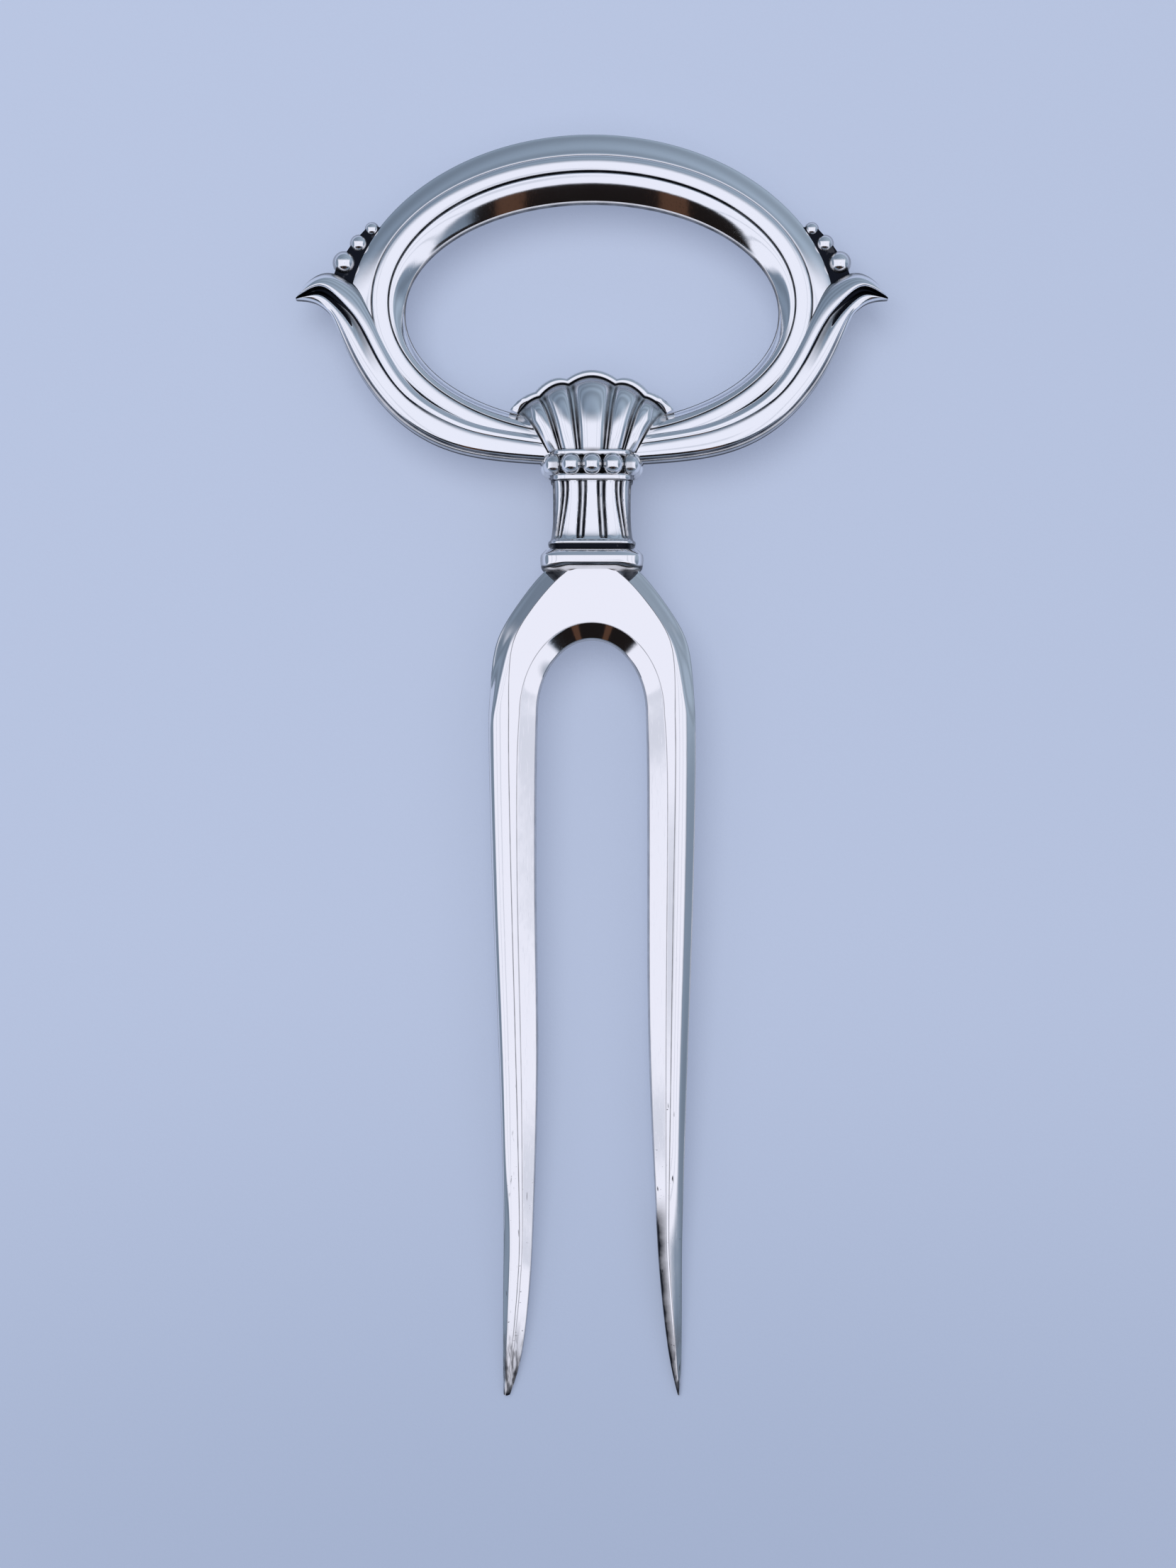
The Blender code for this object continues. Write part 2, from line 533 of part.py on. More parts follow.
def cement(collection, cutters, mat):
    """The filling that holds the tang in the stem."""
    bm = bmesh.new()
    oval_rod(bm, *CEMENT_Y, BORE_HALF_WIDTH - FIT_GAP, BORE_HALF_DEPTH - FIT_GAP)
    obj = add_object("tang_cement", bm, collection, mat)
    combine(obj, "DIFFERENCE", add_object("cement_slot", tang_bar(FIT_GAP), cutters))
    return obj


def main():
    for obj in list(bpy.data.objects):
        bpy.data.objects.remove(obj, do_unlink=True)
    parts = bpy.data.collections.new("meat_fork")
    cutters = bpy.data.collections.new("cutters")
    bpy.context.scene.collection.children.link(parts)
    bpy.context.scene.collection.children.link(cutters)

    silver = material("handle_silver", (0.86, 0.87, 0.89), 1.0, 0.12)
    fork_silver = material("fork_silver", (0.88, 0.87, 0.85), 1.0, 0.14)
    bead_silver = material("bead_silver", (0.9, 0.9, 0.9), 1.0, 0.1)
    filling = material("cement", (0.2, 0.13, 0.08), 0.0, 0.9)

    half_shell("handle_front_shell", 1, parts, cutters, silver)
    half_shell("handle_back_shell", -1, parts, cutters, silver)
    fork(parts, cutters, fork_silver)
    collar(parts, cutters, fork_silver)
    cement(parts, cutters, filling)
    bead_band(parts, cutters, bead_silver)
    for hand, label in ((-1, "left"), (1, "right")):
        for size, (x, y, radius) in SHOULDER_BEADS.items():
            bm = bmesh.new()
            sphere(bm, (hand * x, y, 0), radius, *SHOULDER_BEAD_FACES)
            add_object(f"{label}_bead_{size}", bm, parts, bead_silver)

    table = bpy.data.objects.new("handle_mid_plane", None)
    table.location = (0, 0, MID_HEIGHT)
    bpy.context.scene.collection.objects.link(table)
    for obj in list(parts.objects) + list(cutters.objects):
        obj.parent = table


main()
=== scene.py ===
"""Meat fork in polished silver plate, lying on its back on a pale floor and seen from straight above.

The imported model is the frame. The handle halves, the fork and the collar are made again as fine lofts of the
same moulding, and the beads and the reeds of the stem come from Geometry Nodes.
"""

import math

import bmesh
import bpy
import numpy as np
from mathutils import Matrix, Vector


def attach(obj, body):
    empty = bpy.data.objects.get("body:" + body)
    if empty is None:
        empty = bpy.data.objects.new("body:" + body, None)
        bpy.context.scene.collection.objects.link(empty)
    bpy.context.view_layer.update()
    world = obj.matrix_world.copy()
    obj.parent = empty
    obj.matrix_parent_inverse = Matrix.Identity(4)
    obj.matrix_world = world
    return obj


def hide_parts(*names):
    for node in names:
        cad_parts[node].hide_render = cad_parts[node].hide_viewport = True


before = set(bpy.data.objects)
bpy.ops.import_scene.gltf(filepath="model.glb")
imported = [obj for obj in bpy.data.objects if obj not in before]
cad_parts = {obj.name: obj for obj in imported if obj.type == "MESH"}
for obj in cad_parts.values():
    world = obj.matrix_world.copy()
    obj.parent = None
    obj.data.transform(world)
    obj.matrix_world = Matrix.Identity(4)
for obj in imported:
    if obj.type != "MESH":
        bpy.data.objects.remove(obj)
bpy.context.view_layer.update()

MM = 0.001
SOCKET_KINDS = {float: "Float", int: "Int", tuple: "Color"}
SQUARE = ((-1, -1), (1, -1), (1, 1), (-1, 1))
MID_HEIGHT = 8.95 * MM  # mid-plane of the handle above the floor
SEAM = 0.05  # half the solder seam between the two halves, mm
SAME_POINT = 0.002  # points closer than this are one, mm
SHARP_ANGLE, FORK_SHARP_ANGLE = 40, 36  # degrees between faces that meet in a crease
WALL_SHADE, WALL_SHADE_HEIGHT = 0.75, (1.3, 0.7)  # painted shade on the walls by the seam, and where it comes in, mm

# Ring ovals in mm: centre along Y, half width, half length
HOLE_OVAL = (88.1, 36.0, 21.2)
GROOVE_OVAL = (89.7, 39.05, 25.2)
BAND_OVAL = (90.0, 42.35, 28.1)
CREST_OVAL = (86.5, 47.3, 36.0)
RING_STATIONS = 400
RING_SCALE = (0.88, 0.14, -0.02)  # share of the height at the sides, and its change up the ring
CREST_FADE = (-0.4, 0.05)  # how far up the ring the crest comes in, as a sine
BAND_TUCK = 1.6  # how far the ring goes on under the leaves, mm
# Ring moulding in runs of (oval number, height in mm) with the points made of each run
RING_RUNS = (
    (((0, SEAM), (0, 0.8)), 4),
    (((0, 0.8), (0.012, 0.87), (0.03, 0.9), (0.065, 0.92)), 6),
    (((0.065, 0.92), (0.17, 1.32), (0.32, 1.83), (0.5, 2.4), (0.68, 2.88), (0.83, 3.13), (0.92, 3.2),
      (0.955, 3.13)), 34),
    (((0.955, 3.13), (0.966, 2.94), (0.974, 2.91), (0.985, 3.09), (0.996, 3.14), (1.008, 3.08), (1.02, 2.9),
      (1.03, 2.92), (1.05, 3.12)), 18),
    (((1.05, 3.12), (1.15, 3.25), (1.5, 3.36), (1.82, 3.22), (1.95, 2.98)), 20),
    (((1.95, 2.98), (1.975, 2.8), (2.0, 2.7), (2.03, 2.73), (2.08, 2.71)), 10),
    (((2.08, 2.71), (2.3, 2.35), (2.6, 1.76), (2.85, 1.2), (2.96, 0.92), (3.0, 0.8)), 22),
    (((3.0, 0.8), (3.0, SEAM)), 4),
    (((3.0, SEAM), (2.0, SEAM), (1.0, SEAM), (0.0, SEAM)), 5),
)

# Leaf rails in mm from under the fan to the curled tip
LEAF_RING_SIDE = (
    (8.0, 64.2), (18.4, 65.7), (26.5, 68.3), (34.2, 73.4), (39.3, 81.0), (41.6, 86.2),
    (42.9, 89.2), (44.6, 92.1), (47.5, 94.6), (51.0, 95.75), (54.4, 94.2), (56.8, 91.4),
)
LEAF_GROOVE = (
    (8.0, 62.4), (18.6, 64.0), (26.9, 66.4), (35.2, 71.5), (40.4, 78.0), (43.0, 83.0),
    (45.2, 86.8), (47.2, 89.2), (49.4, 91.4), (52.2, 92.85), (55.1, 91.8), (57.0, 90.9),
)
LEAF_OUTER = (
    (8.0, 59.1), (18.5, 59.9), (28.4, 62.1), (37.2, 67.3), (43.9, 75.0), (47.6, 81.8),
    (49.4, 86.0), (50.4, 87.9), (51.6, 89.1), (53.2, 90.1), (55.2, 90.6), (57.0, 90.7),
)
LEAF_STATIONS = 150
# Leaf section: rail number (0 ring side, 1 groove, 2 outer edge), height by the fan, height at the curl
LEAF_RUNS = (
    (((0, SEAM, SEAM), (0, 2.2, 1.4)), 4),
    (((0, 2.2, 1.4), (0.05, 2.6, 1.75), (0.2, 2.95, 2.4), (0.45, 3.2, 3.15), (0.68, 3.25, 3.55),
      (0.85, 3.2, 3.7), (0.95, 3.12, 3.6), (1.0, 3.05, 3.3)), 32),
    (((1.0, 3.05, 3.3), (1.012, 3.07, 2.4), (1.03, 3.1, 1.4)), 5),
    (((1.03, 3.1, 1.4), (1.12, 3.16, 1.2), (1.24, 3.2, 1.22), (1.34, 3.2, 1.45), (1.42, 3.18, 1.8),
      (1.5, 3.14, 2.0), (1.62, 3.02, 2.08), (1.72, 2.85, 2.05), (1.78, 2.66, 1.98)), 34),
    (((1.78, 2.66, 1.98), (1.805, 2.2, 1.95), (1.84, 1.88, 1.89), (1.89, 1.8, 1.78), (1.95, 1.6, 1.55),
      (2.0, 1.2, 1.2)), 18),
    (((2.0, 1.2, 1.2), (2.0, SEAM, SEAM)), 4),
    (((2.0, SEAM, SEAM), (1.0, SEAM, SEAM), (0.0, SEAM, SEAM)), 5),
)
LEAF_BLEND = (0.25, 0.75)  # shares of its length between which the section turns to that at the curl
LEAF_TIP = (0.86, 0.35)  # where the tip starts to fall, and the share of height left at its end

# Fan of five lobes
FAN_BASE_Y = 60.9
FAN_WIDTH = (8.5, 5.0, 2.2)  # half width at the base, even widening, flare at the rim
FAN_RIM_Y = 75.9
FAN_RIM_SAG = 0.026
FAN_LOBES = (-1.0, -0.7, -0.31, 0.31, 0.7, 1.0)
FAN_SCALLOP = (0.4, 0.85, 1.1, 0.85, 0.4)
FAN_LOBE_RISE = 1.0
FAN_LOBE_COLUMNS = 36
FAN_CORNER = 0.4  # share by which the rim falls at the two outer corners
# Fan from base to rim: place, height, fall to the sides, share of the lobes
FAN_RUNS = (
    (((0.0, 6.3, 0.5, 0.6), (0.3, 6.1, 0.34, 1.0), (0.55, 5.4, 0.24, 1.0), (0.72, 4.55, 0.16, 0.95),
      (0.82, 3.8, 0.1, 0.75), (0.865, 3.35, 0.08, 0.5), (0.892, 3.02, 0.05, 0.25), (0.906, 2.82, 0.02, 0.08),
      (0.914, 2.72, 0.0, 0.0)), 54),
    (((0.914, 2.72, 0, 0), (0.922, 2.86, 0, 0), (0.936, 2.97, 0, 0), (0.962, 2.97, 0, 0), (0.984, 2.82, 0, 0),
      (1.0, 2.5, 0, 0)), 20),
    (((1.0, 2.5, 0, 0), (1.0, SEAM, 0, 0)), 4),
)
FAN_LOBE_SHAPE = (
    (0.0, 1.0), (0.25, 0.96), (0.5, 0.82), (0.66, 0.58), (0.76, 0.3), (0.83, 0.06), (0.88, -0.02),
    (0.92, 0.08), (0.96, 0.24), (1.0, 0.3),
)

# Stem turned along Y: (place along, half width)
STEM_RUNS = (
    (((43.2, 0.0), (43.2, 4.0), (43.2, 8.1)), 4),
    (((43.2, 8.1), (43.28, 8.32), (43.5, 8.42), (43.75, 8.36), (43.95, 8.12), (44.25, 7.95), (44.9, 7.78),
      (46.5, 7.58), (49.5, 7.45), (53.0, 7.5), (54.6, 7.58), (55.2, 7.66), (55.42, 7.72)), 96),
    (((55.42, 7.72), (55.5, 7.86), (55.8, 7.95), (56.2, 7.95), (56.6, 7.8), (56.9, 7.3)), 14),
    (((56.9, 7.3), (57.1, 7.0), (58.4, 6.8), (59.7, 7.0), (59.9, 7.3)), 14),
    (((59.9, 7.3), (60.2, 7.75), (60.6, 7.9), (61.0, 7.85), (61.2, 7.6)), 14),
    (((61.2, 7.6), (61.4, 6.6), (61.6, 4.0), (61.6, 0.0)), 6),
)
STEM_DEPTH = 0.86
STEM_SQUARENESS = 5.0
STEM_COLUMNS = 420
REED_PLACES = (0.465, 0.92)  # first and second reed beside the middle one, in half widths round the stem
REED_COUNT = 14
REED_SPREAD = 0.22  # how much further out the reeds lie at the foot
REED_SPREAD_Y = (54, 44.5)  # places along Y between which they spread

# Collar: (place along Y, half width, half depth)
COLLAR_RUNS = (
    (((38.8, 0.0, 0.0), (38.8, 6.6, 4.6)), 3),
    (((38.8, 6.6, 4.6), (38.9, 8.2, 6.4), (39.1, 9.15, 7.4), (39.4, 9.65, 7.86), (39.8, 9.85, 8.06),
      (40.4, 9.9, 8.1), (40.95, 9.86, 8.06), (41.35, 9.7, 7.88), (41.75, 9.35, 7.55),
      (42.15, 8.95, 7.15)), 40),
    (((42.15, 8.95, 7.15), (42.3, 8.3, 6.9), (42.38, 7.7, 6.7)), 6),
    (((42.38, 7.7, 6.7), (42.7, 7.7, 6.7), (43.4, 7.7, 6.7)), 5),
    (((43.4, 7.7, 6.7), (43.4, 0.0, 0.0)), 3),
)
COLLAR_SQUARENESS = 5.5
COLLAR_DEPTH = 0.82  # depth of the rounded box its columns are spaced by, for a width of 1
COLLAR_COLUMNS = 144
COLLAR_SAG = 0.55  # how much lower its lip lies at the two ends

# Beads in mm
BAND_BEADS = 13
BAND_Y = 58.4
BAND_HALF = (7.9, 6.88)
BAND_SQUARENESS = 4.0
BAND_BEAD_RADIUS = 2.07
BAND_WIRE_RADIUS = 0.9
SHOULDER_BEADS = ((47.7, 97.9, 2.3), (44.9, 101.6, 1.78), (42.4, 104.4, 1.4))
WEB_OUTLINE = (
    (50.0, 94.6), (49.0, 97.4), (46.1, 101.6), (43.0, 104.9), (40.4, 104.6), (42.6, 99.0), (44.0, 93.0),
)
WEB_HEIGHT = 0.9

# Fork rails in mm from the tip to the root of a tine
TINE_OUTER = (
    (17.3, -122.2), (17.35, -113.0), (17.25, -99.0), (17.2, -85.0), (17.9, -57.0), (18.95, -29.0),
    (19.7, -2.0), (19.85, 11.0),
)
TINE_RIDGE_OUTER = (
    (17.05, -122.4), (15.95, -112.0), (14.9, -98.0), (14.6, -84.0), (14.9, -57.0), (15.4, -29.0),
    (15.9, -2.0), (15.95, 11.0),
)
TINE_RIDGE_INNER = (
    (16.95, -122.4), (15.7, -112.0), (14.55, -98.0), (14.1, -84.0), (14.0, -57.0), (14.3, -29.0),
    (14.4, -2.0), (13.9, 11.0),
)
TINE_INNER = (
    (16.7, -122.2), (14.4, -113.0), (13.0, -99.0), (12.2, -85.0), (11.0, -57.0), (10.8, -29.0),
    (10.65, -2.0), (10.4, 11.0),
)
TINE_HALF_THICKNESS = (0.55, 1.2, 1.9, 2.3, 2.8, 3.1, 3.3, 3.3)
SHOULDER_OUTER = ((19.85, 11.0), (19.0, 21.5), (16.6, 28.4), (11.9, 35.2), (9.2, 38.2))
SHOULDER_RIDGE = ((15.95, 11.0), (15.65, 21.4), (13.4, 28.2), (8.35, 34.9), (4.6, 38.4))
ARCH_INNER = (10.4, 14.1)
ARCH_RIDGE = (13.9, 17.4)
TIP_Y, TINE_ROOT_Y, SHOULDER_Y = -122.5, 11.0, 39.6
TINE_STATIONS, SHOULDER_STATIONS, TOP_STATIONS = 150, 60, 24
ARCH_SHARE = 0.75
TINE_DROP, TINE_DROP_POWER = 8.4, 1.7
# Outer side from edge to ridge: share of the width, then share of the half thickness at the tine root, at the
# end of the left and of the right tine, and on the shoulder
OUTER_SIDE = (
    (0.0, 0.55, 0.45, 0.3, 0.4), (0.05, 0.6, 0.51, 0.34, 0.44), (0.14, 0.68, 0.62, 0.41, 0.49),
    (0.3, 0.8, 0.81, 0.525, 0.59), (0.45, 0.885, 0.95, 0.63, 0.68), (0.6, 0.943, 0.975, 0.735, 0.765),
    (0.8, 0.985, 0.99, 0.87, 0.883), (1.0, 1.0, 1.0, 1.0, 1.0),
)
OUTER_FILED = (0.7, 1.2)  # power on the share of the width on left and right tine; less is a narrower strip
OUTER_END = (-70, -94)  # places along Y between which the tine end's shape comes in
# Turn from tine to shoulder along Y: place at the edge, how much higher at the ridge, half its length
OUTER_TURN = (13.0, 11.0, 6.0)
OUTER_COLUMNS, OUTER_CLOSER, OUTER_LAST = 24, 1.8, 0.985  # steps, power drawing them outward, an extra step
FLAT_STEPS = np.array((0, 0.04, 0.25, 0.5, 0.75, 0.96, 1))
BEVEL_STEPS = np.array((0, 0.04, 0.2, 0.4, 0.6, 0.8, 0.96, 1))
EDGE_STEPS = np.array((0.0, 0.35, 0.7))
INNER_BREAK = (0.1, 0.67, 0.43)  # share of the bevel's width, of the half thickness on tine and arch
INNER_BREAK_Y = (14, 22)  # places along Y between which the arch's share comes in
# Hand filing in mm outward at each rail station: left inner edge, right outer edge, right inner edge
TINE_STRAY = (
    (-0.7, 0.05, 0.1), (-0.95, 0.2, 0.5), (-1.1, 0.3, 0.3), (-1.0, 0.5, 0.2), (-0.6, 0.55, 0.1),
    (-0.15, 0.4, -0.1), (0.0, 0.2, 0.0), (0.0, 0.0, 0.0),
)
RIDGE_ROUND = 0.14  # rounding either side of a ridge line, mm
RIDGE_LINE = (0.7, 0.5)  # painted shade along the outer and inner ridge lines
EDGE_LINE = 0.4  # painted shade along the edges
END_DARK, END_DARK_Y = 0.9, (-82, -89)  # painted shade on the right tine's inner bevel, and where it comes in
TANG_ENDS = ((37.0, 2.7, 1.5), (60.5, 2.0, 1.2))  # place along Y, half width, half depth

# Finishes: bare colour, roughness, height of the polishing waves in m
HANDLE_SILVER = ((0.9, 0.905, 0.915), 0.075, 14e-6)
FORK_SILVER = ((0.92, 0.91, 0.91), 0.055, 10e-6)
BEAD_SILVER = ((0.92, 0.92, 0.925), 0.12, 6e-6)
HAZE_SHARE = (0.8, 1.3)  # least and most roughness, as shares of the finish's own
# roughness where the oxide and painted shade are full
OXIDE_AND_SHADE_ROUGHNESS = 0.45
CEMENT_TONES = ((0.12, 0.07, 0.04, 1), (0.3, 0.2, 0.12, 1))

# Floor tones in the pool of shade past the tips and away from it, as lit and as camera and metal see them
FLOOR_HALF = 4  # m
FLOOR_LIT = ((0.405, 0.472, 0.6, 1), (0.482, 0.543, 0.67, 1))
FLOOR_SEEN = ((0.371, 0.434, 0.604, 1), (0.478, 0.546, 0.738, 1))
FLOOR_SEEN_SHARE = ((0.2, 0.42), (1.2, 1.0))  # distance in m, share of the seen tone
POOL_Y, POOL_REACH, POOL_ACROSS = -0.17, 0.15, 0.35  # m, m, share of the distance across that counts

# Studio, by the direction in which it lies from the fork
PANEL_TONE = (0.89, 0.91, 1.04, 1)
PANEL_X = ((0.84, 0.75), (-0.88, -0.8))  # from outside the panel to inside it, at each end
PANEL_Y = ((-0.64, -0.57), (0.55, 0.25))
PANEL_BARS, PANEL_BAR_EDGE, PANEL_BAR_DIM = (0.34, 0.58), (0.03, 0.012), 0.3  # dim bars on both sides
PANEL_SPOT = ((0.09, 0.087), (-0.165, 0.093))  # centre and size of a dim spot across and along
PANEL_SPOT_EDGE, PANEL_SPOT_DIM = (1.9, 0.3), 0.3
WALL_TONES = ((0.19, 0.245, 0.33, 1), (0.31, 0.385, 0.49, 1))  # round about, and at the right of the handle
WALL_X, WALL_Y = (-0.7, 0.7), (-0.12, 0.12)
WALL_BANDS = (0.475, 0.29, 0.15)  # height of a pale band, distance to the next, share by which tones change
DARK_TONE, POST_TONE = (0.01, 0.008, 0.008, 1), (0.085, 0.043, 0.028, 1)
DARK_Y, DARK_FOOT, DARK_EDGE = (-0.56, -0.63), (0.37, 0.43), 0.06
DARK_REACH = ((0.54, 0.57), (0.44, 1.3))  # height, spread across for each length past the tips
DARK_LEFT = ((0.0, -0.1), 1.2)  # where the left side begins, and the least spread there
POST_AT, POST_EDGE = 0.33, (0.085, 0.055)
HORIZON = (0.05, 0.0)  # heights between which the metal comes to see the floor's tone
LAMP_AT, LAMP_SIZE, LAMP_ENERGY = Vector((-0.2, 0.35, 1.0)), 0.9, 6.2  # m, m, W
CAMERA_AT = Vector((-0.75, -2.55, 492.3))  # mm, its height from the handle's mid-plane
CAMERA_LENS, CAMERA_SENSOR = 58.6, 36.0  # mm


def spline(points, at):
    """Points at the given indices of the natural cubic spline through points one index apart."""
    points = np.asarray(points, float)
    last = len(points) - 1
    system = np.eye(last + 1)
    bend = np.zeros_like(points)
    for i in range(1, last):
        system[i, i - 1:i + 2] = (1, 4, 1)
        bend[i] = 6 * (points[i - 1] - 2 * points[i] + points[i + 1])
    bend = np.linalg.solve(system, bend)
    at = np.asarray(at, float)
    low = np.minimum(at.astype(int), last - 1)
    t = (at - low).reshape((-1,) + (1,) * (points.ndim - 1))
    s = 1 - t
    return (s * points[low] + t * points[low + 1]
            + ((s ** 3 - s) * bend[low] + (t ** 3 - t) * bend[low + 1]) / 6)


def runs_of(runs):
    """One closed or open line of points from smooth runs that meet at corners."""
    line = [spline(points, np.linspace(0, len(points) - 1, count))[:-1] for points, count in runs]
    return np.concatenate(line)


def smooth_step(low, high, value):
    t = np.clip((np.asarray(value, float) - low) / (high - low), 0, 1)
    return t * t * (3 - 2 * t)


def bump_at(value, centre, width):
    return np.exp(-((value - centre) / width) ** 2)


def rounded_box(half_width, half_depth, squareness, count):
    """Points (x, z) evenly spaced round a rounded box from the middle of its front, and its girth."""
    angle = np.linspace(0, 2 * math.pi, 4001)
    wave = np.stack((np.sin(angle), np.cos(angle)), 1)
    line = np.sign(wave) * np.abs(wave) ** (2 / squareness) * (half_width, half_depth)
    run = np.concatenate(([0], np.cumsum(np.linalg.norm(np.diff(line, axis=0), axis=1))))
    even = np.linspace(0, run[-1], count, endpoint=False)
    return np.stack([np.interp(even, run, line[:, k]) for k in (0, 1)], 1), run[-1]


def across_rails(rails, place):
    """Points in plan at each place, which is a rail's number and the share of the way to the next rail."""
    low = np.clip(place.astype(int), 0, len(rails) - 2)
    return rails[low] + (rails[low + 1] - rails[low]) * (place - low)[:, None, None]


def raised(plan, height):
    """Columns of points in plan lifted to their heights."""
    return np.concatenate((plan, np.broadcast_to(height, plan.shape[:2])[..., None]), -1)


def skin(rings, tarnish, loop=False):
    """Vertices, faces and darkening (oxide with painted shade) of closed rings in mm joined one to the next,
    capped unless they loop.
    """
    rows, columns = rings.shape[:2]
    index = np.arange(rows * columns).reshape(rows, columns)
    across = np.roll(index, -1, 1)
    ahead = np.roll(index, -1, 0)
    beyond = np.roll(across, -1, 0)
    faces = np.stack((index, across, beyond, ahead), -1)
    faces = (faces if loop else faces[:-1]).reshape(-1, 4).tolist()
    if not loop:
        faces += [index[0].tolist(), index[-1].tolist()]
    tarnish = np.broadcast_to(np.clip(tarnish, 0, 1), (rows, columns))
    return rings.reshape(-1, 3), faces, tarnish.reshape(-1)


def shown(name, data):
    """A new object in the scene."""
    obj = bpy.data.objects.new(name, data)
    bpy.context.scene.collection.objects.link(obj)
    return obj


def finish_mesh(name, mesh, sharp):
    """Merge doubled points, turn faces out, shade smooth with creases, and show the mesh as an object."""
    bm = bmesh.new()
    bm.from_mesh(mesh)
    bmesh.ops.remove_doubles(bm, verts=bm.verts, dist=SAME_POINT * MM)
    bmesh.ops.recalc_face_normals(bm, faces=bm.faces)
    bm.to_mesh(mesh)
    bm.free()
    mesh.shade_smooth()
    mesh.set_sharp_from_angle(angle=math.radians(sharp))
    return shown(name, mesh)


def mesh_in_mm(name, points, edges, faces, **layers):
    """A mesh of points in mm from the handle's mid-plane, with named values or vectors kept on its points."""
    mesh = bpy.data.meshes.new(name)
    mesh.from_pydata((np.asarray(points) * MM + (0, 0, MID_HEIGHT)).tolist(), edges, faces)
    for layer, values in layers.items():
        kind, field = ("FLOAT", "value") if np.ndim(values) == 1 else ("FLOAT_VECTOR", "vector")
        mesh.attributes.new(layer, kind, "POINT").data.foreach_set(field, np.ravel(values))
    return mesh


def build(name, parts, finish, sharp=SHARP_ANGLE):
    """An object of several skins given in mm from the handle's mid-plane."""
    verts, faces, tarnish, start = [], [], [], 0
    for part_verts, part_faces, part_tarnish in parts:
        verts.append(part_verts)
        tarnish.append(part_tarnish)
        faces += [[i + start for i in face] for face in part_faces]
        start += len(part_verts)
    mesh = mesh_in_mm(name, np.concatenate(verts), [], faces, tarnish=np.concatenate(tarnish))
    obj = finish_mesh(name, mesh, sharp)
    mesh.materials.append(finish)
    return obj


def wall_shade(height):
    """Painted shade on the steep walls by the seam, darkening the pale floor they reflect."""
    return WALL_SHADE * smooth_step(*WALL_SHADE_HEIGHT, height)


def ring_skin(side):
    """The moulded oval ring of one half; side is 1 for the front and -1 for the back."""
    section = runs_of(RING_RUNS)
    angle = np.linspace(0, 2 * math.pi, RING_STATIONS, endpoint=False)
    up = np.sin(angle)
    crest = smooth_step(*CREST_FADE, up)
    scale = RING_SCALE[0] + RING_SCALE[1] * up + RING_SCALE[2] * up ** 2

    def oval(values, grow=0.0):
        centre, half_width, half_length = values
        return np.stack((
            (half_width + grow) * np.cos(angle), centre + (half_length + grow) * np.sin(angle)), -1)

    tuck = oval(BAND_OVAL, BAND_TUCK)
    edge = tuck + (oval(CREST_OVAL) - tuck) * crest[:, None]
    marks = np.stack((oval(HOLE_OVAL), oval(GROOVE_OVAL), oval(BAND_OVAL), edge))
    place = section[:, 0]
    plan = across_rails(marks, place)
    height = section[:, 1][:, None] * np.where(section[:, 1][:, None] > SEAM, scale[None, :], 1)
    rings = raised(plan, side * height).transpose(1, 0, 2)
    from_groove, from_band = (np.linalg.norm(plan - marks[k], axis=-1).T for k in (1, 2))
    # Painted shade, with the oxide the grooves hold: dark lines along the groove and the band, a darker lip at
    # the hole, and shade on the walls.
    groove_dark = (0.75 + 0.25 * smooth_step(0.6, 0.95, up))[:, None]
    groove_width = (0.13 + 0.11 * smooth_step(-0.2, 0.8, up))[:, None]
    band_dark = (0.3 + 0.6 * smooth_step(0.6, 0.1, up))[:, None]
    lip_dark = (0.65 - 0.3 * smooth_step(0.4, 0.8, up))[:, None]
    shadow = groove_dark * bump_at(from_groove, 0, groove_width) + band_dark * bump_at(from_band, 0, 0.18) \
        + lip_dark * smooth_step(0.08, 0.05, place)[None, :]
    on_wall = ((place < 0.001) | (place > 2.999))[None, :]
    return skin(rings, np.where(on_wall, wall_shade(height.T), shadow), loop=True)


def leaf_skin(hand, side):
    """A curled leaf from under the fan to its tip; hand is 1 for the right one and -1 for the left."""
    section = runs_of(LEAF_RUNS)
    at = np.linspace(0, len(LEAF_OUTER) - 1, LEAF_STATIONS)
    t = at / at[-1]
    rails = np.stack([spline(rail, at) for rail in (LEAF_RING_SIDE, LEAF_GROOVE, LEAF_OUTER)])
    place = section[:, 0]
    plan = across_rails(rails, place)
    curl = smooth_step(*LEAF_BLEND, t)[None, :]
    past = np.clip((t - LEAF_TIP[0]) / (1 - LEAF_TIP[0]), 0, 1)
    fall = LEAF_TIP[1] + (1 - LEAF_TIP[1]) * np.sqrt(1 - past ** 2)
    height = (section[:, 1][:, None] * (1 - curl) + section[:, 2][:, None] * curl) * fall[None, :]
    rings = raised(plan, side * height).transpose(1, 0, 2)
    rings[..., 0] *= hand
    t, place = t[:, None], place[None, :]
    # Painted shade: under the curled hood, in the crease and on the lip near the fan, on the channel floor,
    # along the ring edge, on the hood's back and on the walls.
    hood = 0.07 + 0.41 * smooth_step(0.55, 0.92, t)
    beyond = place - 1
    under_hood = smooth_step(0.12, 0.3, t) * smooth_step(hood + 0.05, hood - 0.03, beyond) * (beyond > -0.004)
    near_fan = smooth_step(0.6, 0.35, t)
    crease = 0.8 * near_fan * bump_at(place, 1.8, 0.03)
    lip = 0.35 * near_fan * smooth_step(1.8, 1.84, place)
    floor = 0.5 * smooth_step(0.35, 0.5, t) * smooth_step(1.36, 1.22, place) * (place > 1)
    ring_edge = 0.6 * smooth_step(0.05, 0.0, place) * smooth_step(0.08, 0.3, t)
    hood_back = smooth_step(0.32, 0.1, place) * (
        0.35 * smooth_step(0.45, 0.65, t) + 0.3 * smooth_step(0.7, 0.85, t))
    return skin(rings, under_hood + crease + lip + floor + ring_edge + hood_back + wall_shade(height.T))


